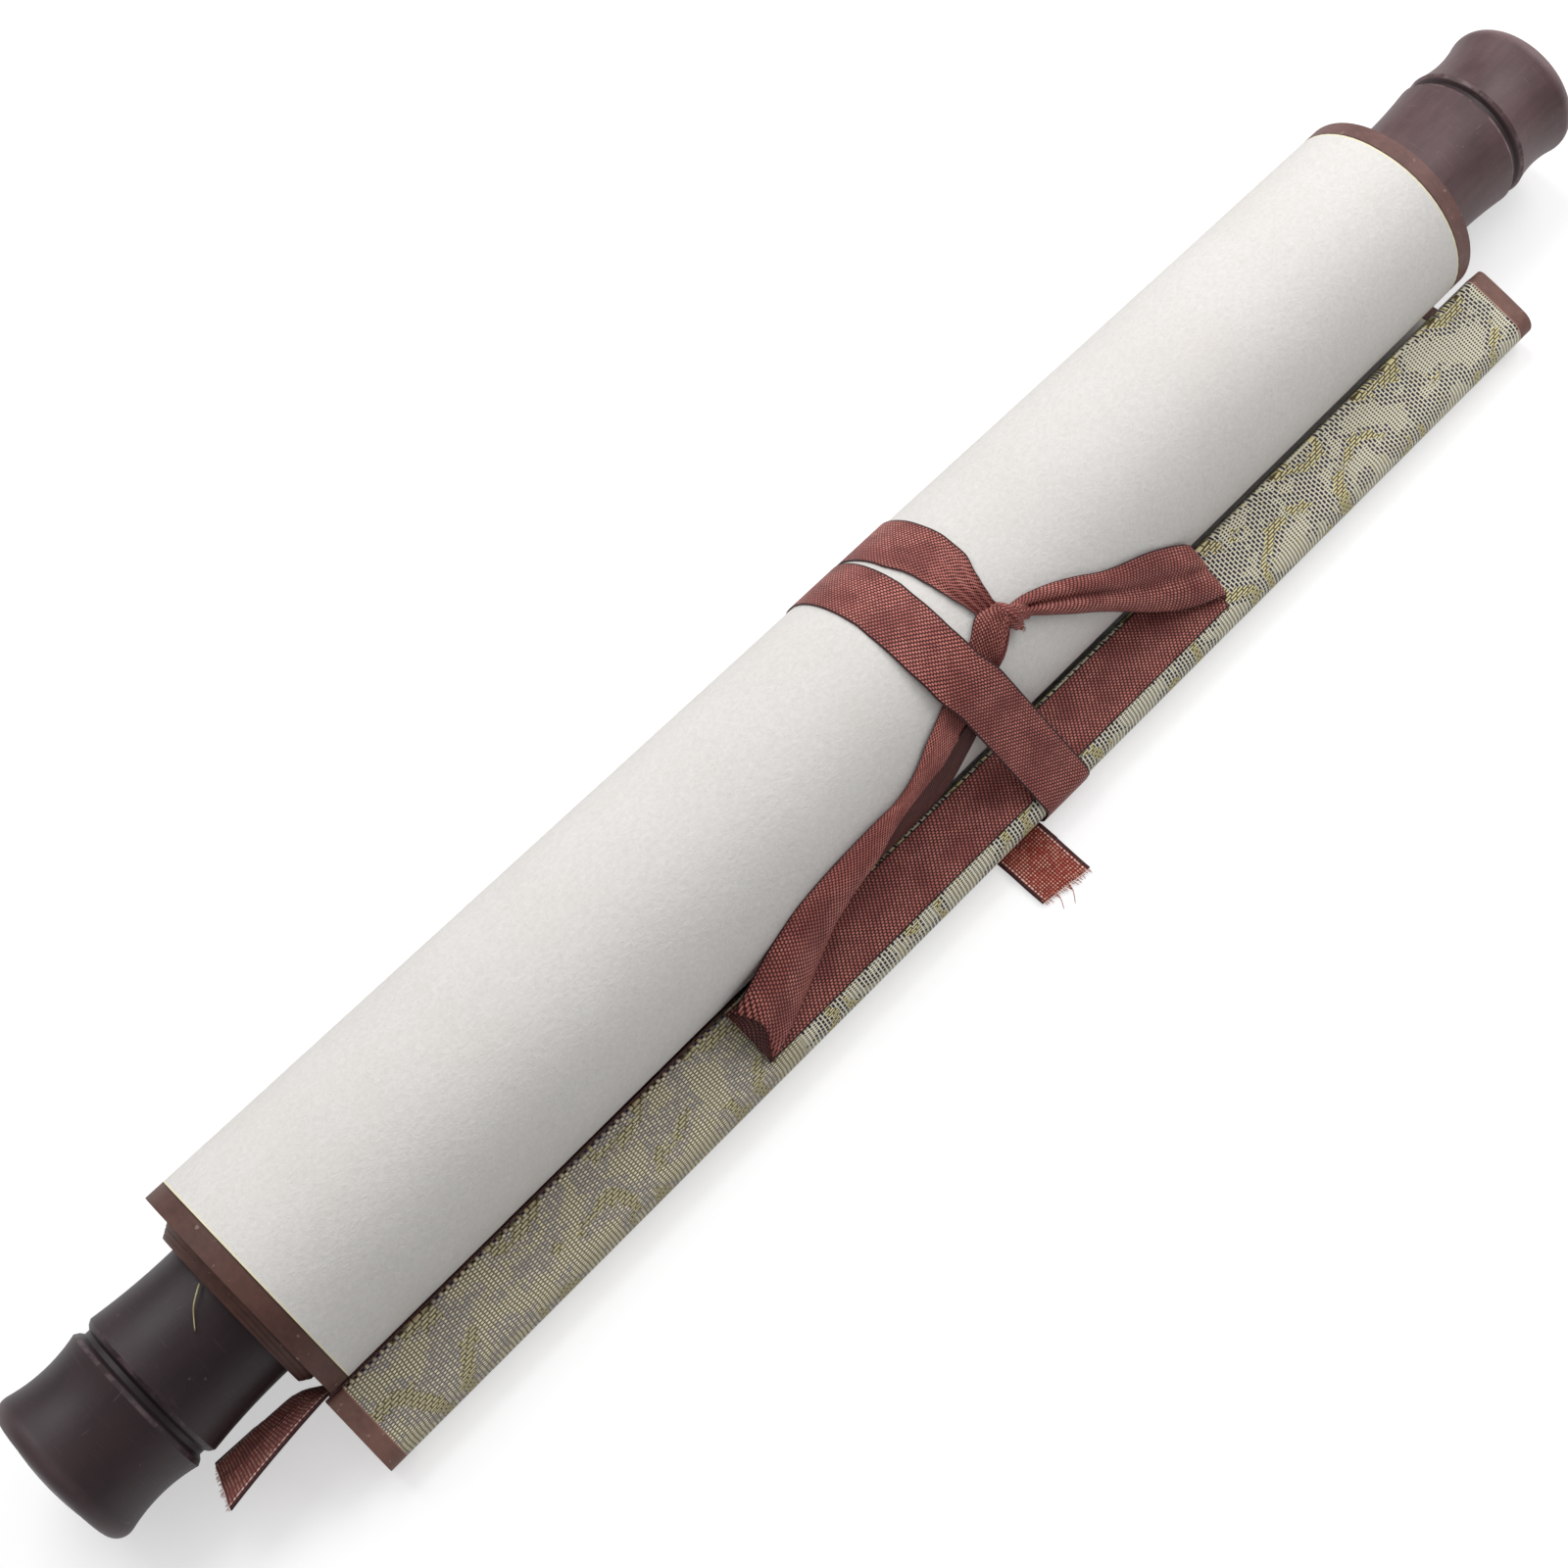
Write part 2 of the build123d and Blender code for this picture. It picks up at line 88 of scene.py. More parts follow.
def front_circle(x):
    """Centre height and radius of the loose turn's front half."""
    radius = (FLOOR_LINE + 2 * loose_radius(x) - INNER_LINE) / 2
    return INNER_LINE + radius, radius


NIP_Z, NIP_RADIUS = front_circle(ROLL_LEFT)
ROD_IN = FLAT * cos(LEAN) - (NIP_Z - AXIS_Z) * sin(LEAN) + NIP_RADIUS + SHEET / 2 + NIP_GAP
ROD_OUT = ROD_IN + ROD_WIDTH
LOW_A = ROD_OUT - LOW_ROUND
LOW_Z = SHEET + PASTE_GAP + LOW_ROUND
LOW_O = (LOW_Z - AXIS_Z + LOW_A * sin(LEAN)) / cos(LEAN)
ROD_BACK = LOW_O - LOW_ROUND
ROD_FACE = ROD_BACK + ROD_HEIGHT


def front_surface(x):
    """Middle (across, out) and radius of the roll's front surface."""
    z, radius = front_circle(x)
    rise = z - AXIS_Z
    middle = (FLAT * cos(LEAN) - rise * sin(LEAN), FLAT * sin(LEAN) + rise * cos(LEAN))
    return middle, radius + SHEET / 2


def roll_front(x, across):
    """How far out the roll's front stands at a place across, and its slope in radians."""
    (middle_a, middle_o), radius = front_surface(x)
    slope = asin(max(-1, min(1, (across - middle_a) / radius)))
    return middle_o + radius * cos(slope), slope


class Shader:
    """One material and short names for the nodes it is built from."""

    def __init__(self, name):
        self.material = bpy.data.materials.new(name)
        self.material.use_nodes = True
        self.tree = self.material.node_tree
        self.bsdf = self.tree.nodes["Principled BSDF"]
        coords = self.node("TexCoord")
        self.point = coords.outputs["Object"]
        self.uv = coords.outputs["UV"]

    def node(self, kind):
        return self.tree.nodes.new("ShaderNode" + kind)

    def put(self, socket, value):
        """Link an output to a socket, or set the socket to a constant."""
        if isinstance(value, bpy.types.NodeSocket):
            self.tree.links.new(value, socket)
        else:
            socket.default_value = value

    def math(self, op, a, b=0.0):
        n = self.node("Math")
        n.operation = op
        self.put(n.inputs[0], a)
        self.put(n.inputs[1], b)
        return n.outputs[0]

    def add(self, a, b):
        return self.math("ADD", a, b)

    def sub(self, a, b):
        return self.math("SUBTRACT", a, b)

    def mul(self, a, b):
        return self.math("MULTIPLY", a, b)

    def div(self, a, b):
        return self.math("DIVIDE", a, b)

    def flip(self, a):
        """1 where a is 0, and 0 where it is 1."""
        return self.sub(1.0, a)

    def blend(self, a, part_a, b, part_b):
        return self.add(self.mul(a, part_a), self.mul(b, part_b))

    def apart(self, a, b):
        return self.math("ABSOLUTE", self.sub(a, b))

    def off_middle(self, a):
        """How far a is from the middle of its cell, where each cell is 1 long."""
        return self.apart(self.math("FRACT", a), 0.5)

    def vec(self, op, a, b=(0, 0, 0), out=0):
        n = self.node("VectorMath")
        n.operation = op
        self.put(n.inputs[0], a)
        self.put(n.inputs[1], b)
        return n.outputs[out]

    def scaled(self, v, by):
        return self.vec("MULTIPLY", v, by)

    def split(self, v):
        n = self.node("SeparateXYZ")
        self.put(n.inputs[0], v)
        return n.outputs

    def join(self, x, y):
        n = self.node("CombineXYZ")
        self.put(n.inputs[0], x)
        self.put(n.inputs[1], y)
        return n.outputs[0]

    def noise(self, where, scale, detail=2.0, rough=0.5, color=False, distortion=0.0):
        n = self.node("TexNoise")
        self.put(n.inputs["Vector"], where)
        settings = {"Scale": scale, "Detail": detail, "Roughness": rough, "Distortion": distortion}
        for key, value in settings.items():
            n.inputs[key].default_value = value
        return n.outputs["Color" if color else "Fac"]

    def ramp(self, fac, low, high):
        """From one colour to another; low and high are (value, colour)."""
        n = self.node("ValToRGB")
        for element, (at, color) in zip(n.color_ramp.elements, (low, high)):
            element.position = at
            element.color = (*color, 1)
        self.put(n.inputs[0], fac)
        return n.outputs[0]

    def step(self, fac, low, high):
        """0 below low, 1 above high, smooth between."""
        n = self.node("MapRange")
        n.interpolation_type = "SMOOTHSTEP"
        self.put(n.inputs[0], fac)
        n.inputs[1].default_value = low
        n.inputs[2].default_value = high
        return n.outputs[0]

    def mix(self, fac, a, b, kind="MIX"):
        n = self.node("Mix")
        n.data_type = "RGBA"
        n.blend_type = kind
        self.put(n.inputs[0], fac)
        for socket, value in zip(n.inputs[6:8], (a, b)):
            self.put(socket, (*value, 1) if isinstance(value, tuple) else value)
        return n.outputs[2]

    def bump(self, height, strength, distance):
        n = self.node("Bump")
        n.inputs["Strength"].default_value = strength
        n.inputs["Distance"].default_value = distance
        self.put(n.inputs["Height"], height)
        self.tree.links.new(n.outputs[0], self.bsdf.inputs["Normal"])

    def finish(self, color, rough=0.6, specular=0.3):
        self.put(self.bsdf.inputs["Base Color"], (*color, 1) if isinstance(color, tuple) else color)
        self.put(self.bsdf.inputs["Roughness"], rough)
        self.bsdf.inputs["Specular IOR Level"].default_value = specular
        return self.material


def srgb(*levels):
    """Linear colour from 0-255 levels as a picture shows them."""
    shown = [v / 255 for v in levels]
    return tuple(v / 12.92 if v < 0.04045 else ((v + 0.055) / 1.055) ** 2.4 for v in shown)


# Places along the roller, in metres, that the materials mark
# the paper's trimmed ends, which get a painted cream highlight
PAPER_END_HIGHLIGHTS = ((0.1440, 1), (-0.1481, -1))  # (place, side)
SEAM_WIDTH = 0.0003
# where the bindings get a painted shadow line beside the paper's edge
BINDING_SHADOW_LEFT, BINDING_SHADOW_RIGHT = -0.14825, 0.14425
CAP_SEAM_LEFT, CAP_SEAM_RIGHT = -0.1500, 0.1488
KNOB_GROOVE = 0.1728
KNOB_TIP = (0.1878, 0.1900)


def paper_material():
    """White backing paper with a fine fibrous tooth, and a painted cream highlight along its trimmed ends."""
    s = Shader("backing_paper")
    tooth = s.noise(s.scaled(s.point, (0.75, 1, 1)), 1300, 4, 0.62, distortion=0.5)
    fibre = s.noise(s.scaled(s.point, (0.4, 1, 1)), 1500, 3, 0.7, distortion=1.4)
    cloud = s.noise(s.point, 34, 3, 0.55)
    tone = s.blend(tooth, 0.7, cloud, 0.3)
    color = s.ramp(tone, (0.34, srgb(220, 217, 213)), (0.66, srgb(232, 229, 226)))
    warm = s.step(s.noise(s.point, 55, 2), 0.52, 0.75)
    color = s.mix(s.mul(warm, 0.25), color, srgb(226, 217, 210))
    x = s.split(s.point)[0]
    # painted highlight: a cream line along each trimmed end, where the paper's cut edge would catch the light
    for end, side in PAPER_END_HIGHLIGHTS:
        past = s.mul(s.sub(x, end), side)
        color = s.mix(s.step(past, -0.00035, -0.00005), color, srgb(240, 232, 200))
    s.bump(s.blend(tooth, 0.8, fibre, 0.35), 0.5, 0.0003)
    return s.finish(color, 0.85, 0.15)


def edging_material(name, light, dark, lines_and_shadows):
    """Brown edging paper with a fine grain, and thin lines along X given as (place, colour); on the bindings
    these are a painted shadow where the paper's edge lies over the brown.
    """
    s = Shader(name)
    grain = s.noise(s.scaled(s.point, (1, 0.6, 0.6)), 1100, 3, 0.6)
    patch = s.noise(s.point, 130, 3, 0.6)
    tone = s.blend(grain, 0.4, patch, 0.6)
    color = s.ramp(tone, (0.32, dark), (0.68, light))
    dust = s.step(s.noise(s.point, 700, 1), 0.70, 0.76)
    color = s.mix(s.mul(dust, 0.3), color, srgb(190, 165, 155))
    x = s.split(s.point)[0]
    # thin lines along X; on the bindings each is a painted shadow beside the paper's edge
    for at, line_color in lines_and_shadows:
        near = s.flip(s.step(s.apart(x, at), SEAM_WIDTH * 0.5, SEAM_WIDTH))
        color = s.mix(s.mul(near, 0.75), color, line_color)
    s.bump(tone, 0.2, 0.0002)
    return s.finish(color)


def knob_material(name, low, high, rubbed):
    """Dark purple-brown stained wood, rubbed lighter on its ridges and scratched, with painted shade in its
    groove and a tip made lighter partly by dust and partly by a painted highlight.
    """
    s = Shader(name)
    reach = s.math("ABSOLUTE", s.split(s.point)[0])
    grain = s.noise(s.scaled(s.point, (0.2, 1, 1)), 420, 4, 0.65)
    patch = s.noise(s.point, 70, 3, 0.55)
    dust = s.noise(s.point, 1500, 2, 0.6)
    tone = s.blend(grain, 0.4, patch, 0.6)
    color = s.ramp(tone, (0.3, low), (0.7, high))
    # painted shade: the groove is darkened as if in its own shadow
    off = s.apart(reach, KNOB_GROOVE)
    groove = s.flip(s.step(off, 0.0007, 0.0012))
    color = s.mix(s.mul(groove, 0.75), color, srgb(30, 20, 22))
    ridge = s.mul(s.step(off, 0.0010, 0.0013), s.flip(s.step(off, 0.0016, 0.0020)))
    worn = s.mul(ridge, s.step(s.noise(s.point, 330, 3, 0.7), 0.42, 0.66))
    color = s.mix(s.mul(worn, 0.4), color, rubbed)
    rings = s.noise(s.scaled(s.point, (26, 1, 1)), 150, 2, 0.6)
    color = s.mix(s.mul(s.step(rings, 0.62, 0.75), 0.12), color, rubbed)
    # the domed tip made lighter: partly dust, partly a painted highlight on the end seen edge-on
    color = s.mix(s.mul(s.step(reach, *KNOB_TIP), s.mul(patch, 0.5)), color, rubbed)
    scratch = s.noise(s.scaled(s.point, (1, 7, 1)), 260, 1, 0.5, distortion=0.6)
    scratch = s.step(scratch, 0.76, 0.80)
    chips = s.step(s.noise(s.point, 800, 1), 0.76, 0.80)
    marks = s.math("MAXIMUM", s.mul(scratch, 0.25), s.mul(chips, 0.3))
    color = s.mix(marks, color, rubbed)
    s.bump(s.blend(grain, 0.5, dust, 0.3), 0.15, 0.0003)
    return s.finish(color, s.add(0.42, s.mul(patch, 0.2)), 0.4)


def plain_wood_material():
    s = Shader("plain_wood")
    grain = s.noise(s.scaled(s.point, (0.05, 1, 1)), 600, 4, 0.6)
    color = s.ramp(grain, (0.3, (0.42, 0.27, 0.14)), (0.7, (0.62, 0.45, 0.27)))
    s.bump(grain, 0.15, 0.0003)
    return s.finish(color)


def straw_material():
    """Pale dry straw, streaked along its length."""
    s = Shader("dry_straw")
    streak = s.noise(s.point, 900, 2, 0.6)
    return s.finish(s.ramp(streak, (0.3, srgb(170, 158, 118)), (0.7, srgb(214, 204, 164))))


def brocade_material():
    """Woven cover: cream weft on a dark warp in columns, with dashed figures and gold floats.

    To the right the ground shows the cream side, with small dark dots. To the left it
    shows the dark side, with small cream dots, made partly darker as painted shade for the lesser light there.
    """
    s = Shader("brocade")
    mm = s.vec("SUBTRACT", s.scaled(s.point, (1000, 1000, 1000)), (0, AXIS_Y, AXIS_Z))
    across = s.vec("DOT_PRODUCT", mm, tuple(ACROSS - OUT), out=1)
    x = s.split(mm)[0]
    wobble = s.noise(s.scaled(mm, (0.09, 0.3, 0.3)), 1.0)
    pitch, rise = 0.82, 0.48
    column = s.add(s.div(x, pitch), s.mul(wobble, 0.8))
    column_id = s.math("FLOOR", column)
    half_step = s.mul(s.math("MODULO", s.math("ABSOLUTE", column_id), 2.0), 0.5)
    fx = s.off_middle(column)

    def rows(height):
        """How far a place is from its row's middle, and the row's number."""
        row = s.add(s.div(across, height), half_step)
        return s.off_middle(row), s.math("FLOOR", row)

    def box(wide, tall, fy, soft=0.09):
        """1 in a box of half sizes wide and tall in each cell, 0 round it."""
        inside = s.flip(s.step(fx, wide - soft, wide + soft))
        return s.mul(inside, s.flip(s.step(fy, tall - soft, tall + soft)))

    fine, fine_id = rows(rise)
    coarse, coarse_id = rows(2 * rise)
    cell = s.join(s.mul(column_id, pitch), s.mul(coarse_id, 2 * rise))
    bend = s.noise(cell, 0.11, 1.5, 0.5, color=True)
    drawn = s.vec("ADD", cell, s.scaled(s.vec("SUBTRACT", bend, (0.5, 0.5, 0.5)), (9, 7, 0)))
    dx, da, _ = s.split(drawn)

    # generic figures: ragged patches of long dashes, and arcs of gold floats with a dashed rim
    ragged = s.noise(s.join(column_id, coarse_id), 0.9, 1)
    blob = s.noise(s.scaled(drawn, (0.8, 1, 1)), 0.16, 1.0)
    figure = s.math("GREATER_THAN", s.add(blob, s.mul(ragged, 0.16)), 0.615)

    def off_rings(middle, radius, shift):
        """How far a place is from a row of rings along the rod."""
        period = 23.0
        turn = s.math("FRACT", s.div(s.add(dx, shift), period))
        along = s.sub(s.mul(turn, period), period / 2)
        out_of = s.mul(s.sub(da, middle), 1.25)
        reach = s.vec("LENGTH", s.join(along, out_of), out=1)
        return s.apart(reach, radius)

    off_gold = s.math("MINIMUM", off_rings(31.5, 9.0, 0.0), off_rings(14.0, 6.5, 9.0))
    off_gold = s.add(off_gold, s.mul(s.sub(ragged, 0.5), 1.2))
    shown = s.step(s.noise(cell, 0.09, 1), 0.42, 0.44)
    gold = s.mul(shown, s.math("LESS_THAN", off_gold, 1.1))
    rim = s.mul(shown, s.math("LESS_THAN", off_gold, 2.7))
    figure = s.mul(s.math("MAXIMUM", figure, rim), s.flip(gold))
    # the change from the dark side to the cream side is partly the weave's own and partly painted shade, darker
    # to the left
    side = s.noise(cell, 0.06, 1)
    right = s.step(s.add(x, s.mul(s.sub(side, 0.5), 60.0)), -58.0, -52.0)

    vary = s.noise(s.join(column_id, fine_id), 0.9, 1)
    thread_run = s.noise(s.scaled(mm, (2.2, 0.25, 0.25)), 1.0, 2, 0.6)
    cream = s.mix(vary, srgb(226, 218, 190), srgb(252, 248, 230))
    cream = s.mix(s.mul(s.step(thread_run, 0.55, 0.75), 0.6), cream, srgb(232, 218, 158))
    dark = s.mix(vary, srgb(38, 32, 42), srgb(60, 52, 72))

    # cream side: small dark dots, or dashes twice as tall in brick order
    dots = box(0.28, 0.31, fine)
    dashes = box(0.31, 0.41, coarse, 0.06)
    light_side = s.mix(dots, cream, srgb(52, 45, 38))
    light_side = s.mix(figure, light_side, s.mix(dashes, cream, dark))

    # dark side: cream dots in columns, with olive or navy warp lines between them
    seeds = box(0.33, 0.33, fine, 0.07)
    kept = s.flip(s.mul(figure, s.step(vary, 0.42, 0.56)))
    stripe = s.step(fx, 0.34, 0.44)
    ground = s.mix(stripe, srgb(60, 52, 38), srgb(150, 140, 106))
    navy = s.mix(stripe, srgb(66, 58, 82), srgb(146, 136, 130))
    dark_side = s.mix(s.mul(figure, 0.9), ground, navy)
    seed_color = s.mix(vary, srgb(228, 216, 176), srgb(255, 250, 232))
    dark_side = s.mix(s.mul(seeds, s.add(0.62, s.mul(kept, 0.38))), dark_side, seed_color)
    color = s.mix(right, dark_side, light_side)

    # gold floats run along the rod, a little aslant
    lane = s.div(s.add(across, s.mul(x, 0.06)), 0.5)
    lane_run = s.add(s.div(x, 1.9), s.mul(s.math("FLOOR", lane), 0.37))
    float_line = s.mul(s.flip(s.step(s.off_middle(lane), 0.16, 0.36)),
                       s.flip(s.step(s.off_middle(lane_run), 0.38, 0.45)))
    # gold floats lighter and stronger to the right: partly painted light for the stronger light there
    gold_color = s.mix(right, s.mix(vary, srgb(210, 198, 146), srgb(238, 228, 184)),
                       s.mix(vary, srgb(238, 224, 158), srgb(252, 244, 200)))
    gap_color = s.mix(right, srgb(80, 72, 54), srgb(88, 76, 54))
    strength = s.add(0.8, s.mul(right, 0.2))
    color = s.mix(s.mul(gold, strength), color, s.mix(float_line, gap_color, gold_color))
    low_warp = s.math("MAXIMUM", dots, s.mul(dashes, figure))
    height = s.mix(gold, s.mix(right, seeds, s.flip(low_warp)), float_line)
    s.bump(height, 0.55, 0.00014)
    return s.finish(color)


def ribbon_material(name, level=1.0):
    """Burgundy twill tape: stepped rows of pale weft dots with a painted glint, and dark selvages. UV is in mm.
    """
    s = Shader(name)
    u, v, _ = s.split(s.uv)
    pitch_u, pitch_v = 0.84, 0.46
    lane = s.div(v, pitch_v)
    lane_id = s.math("FLOOR", lane)
    aslant = s.add(s.div(u, pitch_u), s.mul(lane_id, 0.36))
    rib = s.flip(s.step(s.off_middle(aslant), 0.16, 0.40))
    bead = s.mul(rib, s.flip(s.step(s.off_middle(lane), 0.16, 0.44)))
    cell = s.join(s.math("FLOOR", aslant), lane_id)
    # painted glint: the pale weft dots are brightened by a highlight that differs from dot to dot
    glint = s.step(s.noise(cell, 7.31, 1), 0.34, 0.66)
    patch = s.noise(s.scaled(s.uv, (0.10, 0.22, 1)), 1.0, 3, 0.6)
    elsewhere = s.vec("ADD", s.scaled(s.uv, (0.13, 0.16, 1)), (7, 3, 0))
    fade = s.step(s.noise(elsewhere, 1.0, 1), 0.36, 0.6)
    body = s.ramp(patch, (0.3, srgb(132, 58, 55)), (0.7, srgb(168, 82, 77)))
    solid = s.math("MAXIMUM", s.mul(rib, 0.45), bead)
    color = s.mix(s.add(0.12, s.mul(solid, 0.88)), srgb(34, 9, 12), body)
    steady = s.add(0.5, s.mul(glint, 0.4))
    show = s.mul(s.add(0.45, s.mul(fade, 0.55)), steady)
    color = s.mix(s.mul(bead, show), color, srgb(236, 152, 138))
    selvage = s.step(s.math("ABSOLUTE", v), 5.25, 5.5)
    color = s.mix(s.mul(selvage, 0.85), color, srgb(42, 20, 26))
    # a level below 1 darkens the whole colour: painted shade for a shaded copy of the ribbon
    color = s.mix(1.0, color, (level, level, level), "MULTIPLY")
    s.bump(s.blend(rib, 0.5, bead, 0.5), 0.6, 0.00014)
    return s.finish(color)


def loose_weave_material(name, thread_color, gap_color):
    """Open plain weave of a ribbon's loose end, with pale dots carrying a painted glint, and dark selvages. UV
    is in mm.
    """
    s = Shader(name)
    u, v, _ = s.split(s.uv)
    half = s.math("ABSOLUTE", v)
    pitch_u, pitch_v = 0.62, 0.56
    weft, warp = s.div(u, pitch_u), s.div(v, pitch_v)
    fv = s.off_middle(warp)
    fu = s.off_middle(weft)
    gap = s.math("MAXIMUM", s.step(fv, 0.28, 0.42), s.mul(s.step(fu, 0.34, 0.46), 0.75))
    cell = s.join(s.math("FLOOR", weft), s.math("FLOOR", warp))
    glint = s.step(s.noise(cell, 7.31, 1), 0.36, 0.62)
    dots = s.mul(s.flip(s.step(fu, 0.18, 0.34)), s.flip(s.step(fv, 0.14, 0.40)))
    patch = s.noise(s.scaled(s.uv, (0.35, 0.25, 1)), 1.0, 2, 0.6)
    streak = s.noise(s.scaled(s.uv, (0.5, 3.0, 1)), 1.0, 2, 0.6)
    tone = s.blend(patch, 0.5, streak, 0.5)
    shaded = tuple(c * 0.72 for c in thread_color)
    color = s.mix(s.step(tone, 0.4, 0.6), shaded, thread_color)
    color = s.mix(s.mul(gap, 0.9), color, gap_color)
    # painted glint: the pale dots are brightened by a highlight that differs from dot to dot
    color = s.mix(s.mul(dots, s.add(0.1, s.mul(glint, 0.65))), color, srgb(244, 196, 174))
    selvage = s.step(half, 4.9, 5.2)
    color = s.mix(s.mul(selvage, 0.9), color, srgb(52, 26, 32))
    dotted = s.math("LESS_THAN", s.math("FRACT", s.div(u, 0.85)), 0.42)
    edge_row = s.mul(s.flip(s.step(s.apart(half, 4.75), 0.10, 0.20)), dotted)
    color = s.mix(s.mul(edge_row, 0.8), color, srgb(240, 222, 216))
    s.bump(s.flip(gap), 0.6, 0.00014)
    return s.finish(color)


def pleated_section(width, depth):
    """Places across a pleated section: (sideways, height, flat place), in mm."""
    pleats, steps = 4, 32
    points = []
    for j in range(steps + 1):
        t = -1 + 2 * j / steps
        height = depth * 0.5 * (1 + cos(pi * pleats * t))
        points.append((t * width / 2, height, t * RIBBON_WIDTH / 2))
    return points


def make_mesh(name, vertices, faces, material, uvs=None):
    mesh = bpy.data.meshes.new(name)
    mesh.from_pydata(vertices, [], faces)
    if uvs:
        layer = mesh.uv_layers.new(name="UVMap")
        for loop in mesh.loops:
            layer.data[loop.index].uv = uvs[loop.vertex_index]
    mesh.polygons.foreach_set("use_smooth", [True] * len(mesh.polygons))
    mesh.update()
    mesh.materials.append(material)
    obj = bpy.data.objects.new(name, mesh)
    bpy.context.scene.collection.objects.link(obj)
    return obj


def band_faces(count, m):
    """Faces of a closed band of count rows, each with m places on top and then m below."""
    faces = []
    ring = 2 * m
    for i in range(count - 1):
        a, b = i * ring, (i + 1) * ring
        for j in range(m - 1):
            faces.append((a + j, b + j, b + j + 1, a + j + 1))
            faces.append((a + m + j + 1, b + m + j + 1, b + m + j, a + m + j))
        faces.append((a, a + m, b + m, b))
        faces.append((a + 2 * m - 1, a + m - 1, b + m - 1, b + 2 * m - 1))
    for a in (0, (count - 1) * ring):
        for j in range(m - 1):
            quad = (a + j, a + j + 1, a + m + j + 1, a + m + j)
            faces.append(quad if a == 0 else quad[::-1])
    return faces


def ribbon_mesh(name, rows, material):
    """A closed thin band. Rows are (middle in metres, side, normal, section); UV is in mm."""
    vertices, uvs = [], []
    along = 0.0
    previous = rows[0][0]
    for middle, side, normal, points in rows:
        along += (middle - previous).length * 1000
        previous = middle
        for level in (1, 0):
            for s, h, flat in points:
                vertices.append(middle + side * (s / 1000) + normal * ((h + level * RIBBON) / 1000))
                uvs.append((along, flat))
    faces = [(a, d, c, b) for a, b, c, d in band_faces(len(rows), len(rows[0][3]))]
    return make_mesh(name, vertices, faces, material, uvs)


def spline(p, t):
    """Catmull-Rom point between p[1] and p[2]."""
    a, b, c, d = p
    square, cube = 2 * a - 5 * b + 4 * c - d, 3 * b - a - 3 * c + d
    return 0.5 * (2 * b + (c - a) * t + square * t * t + cube * t ** 3)


def refine(points, counts):
    """More points through the given ones, counts[i] steps from point i to the next."""
    out = []
    last = len(points) - 1
    for i in range(last):
        near = [points[max(i - 1, 0)], points[i], points[i + 1], points[min(i + 2, last)]]
        out += [spline(near, k / counts[i]) for k in range(counts[i])]
    return out + [points[-1]]


def clear(p):
    """Push a place (x, across, out) out of the roll and off the rod's face."""
    roll_room, rod_room = 0.12, 0.3
    x, across, out = p
    middle, radius = front_surface(x)
    off = Vector((across, out)) - Vector(middle)
    reach = radius + roll_room
    if off.length < reach:
        across, out = Vector(middle) + off.normalized() * reach
    if across > ROD_IN - rod_room:
        out = max(out, ROD_FACE + rod_room)
    return Vector((x, across, out))


def cloth(name, grid, material, fine=4, step=0.8, guard=True, width=RIBBON_WIDTH):
    """A closed thin ribbon through rows of places (x, across, out) in mm. UV is in mm.

    Each gap in a row gets fine steps, and the gaps between rows get steps of about step
    mm. With guard the ribbon keeps clear of the roll and the rod.
    """
    columns = [refine(row, [fine] * (len(row) - 1)) for row in grid]
    middles = [row[len(row) // 2] for row in columns]
    counts = [max(2, int((b - a).length / step)) for a, b in zip(middles, middles[1:])]
    lines = [refine([row[j] for row in columns], counts) for j in range(len(columns[0]))]
    rows = [[clear(q) if guard else q for q in row] for row in zip(*lines)]
    n, m = len(rows), len(rows[0])
    vertices, uvs = [], []
    along = 0.0
    for i, row in enumerate(rows):
        if i:
            along += (row[m // 2] - rows[i - 1][m // 2]).length
        world = [place(*q) for q in row]
        for level in (1, 0):
            for j in range(m):
                before, after = rows[max(i - 1, 0)][j], rows[min(i + 1, n - 1)][j]
                run = place(*after) - place(*before)
                side = world[min(j + 1, m - 1)] - world[max(j - 1, 0)]
                normal = run.cross(side)
                normal = normal.normalized() if normal.length > 1e-12 else OUT
                if normal.dot(OUT) < -0.2:  # the top of the band faces out
                    normal = -normal
                vertices.append(world[j] + normal * (level * RIBBON / 1000))
                uvs.append((along, (j / (m - 1) - 0.5) * width))
    return make_mesh(name, vertices, band_faces(n, m), material, uvs)


PLEAT = (0.0, 0.9, 1.1, -0.1, 1.0, 1.0, 0.0)  # heights of two pleats across a strand


def two_pleat_row(x, edge_a, edge_b, depth):
    """A pleated section at x from one edge to the other, each (across, out)."""
    a, b = Vector(edge_a), Vector(edge_b)
    side = (b - a).normalized()
    normal = Vector((-side.y, side.x))
    if normal.y < 0:
        normal = -normal
    last = len(PLEAT) - 1
    row = []
    for j, rise in enumerate(PLEAT):
        q = a + (b - a) * (j / last) + normal * (rise * depth)
        row.append(Vector((x, q.x, q.y)))
    return row


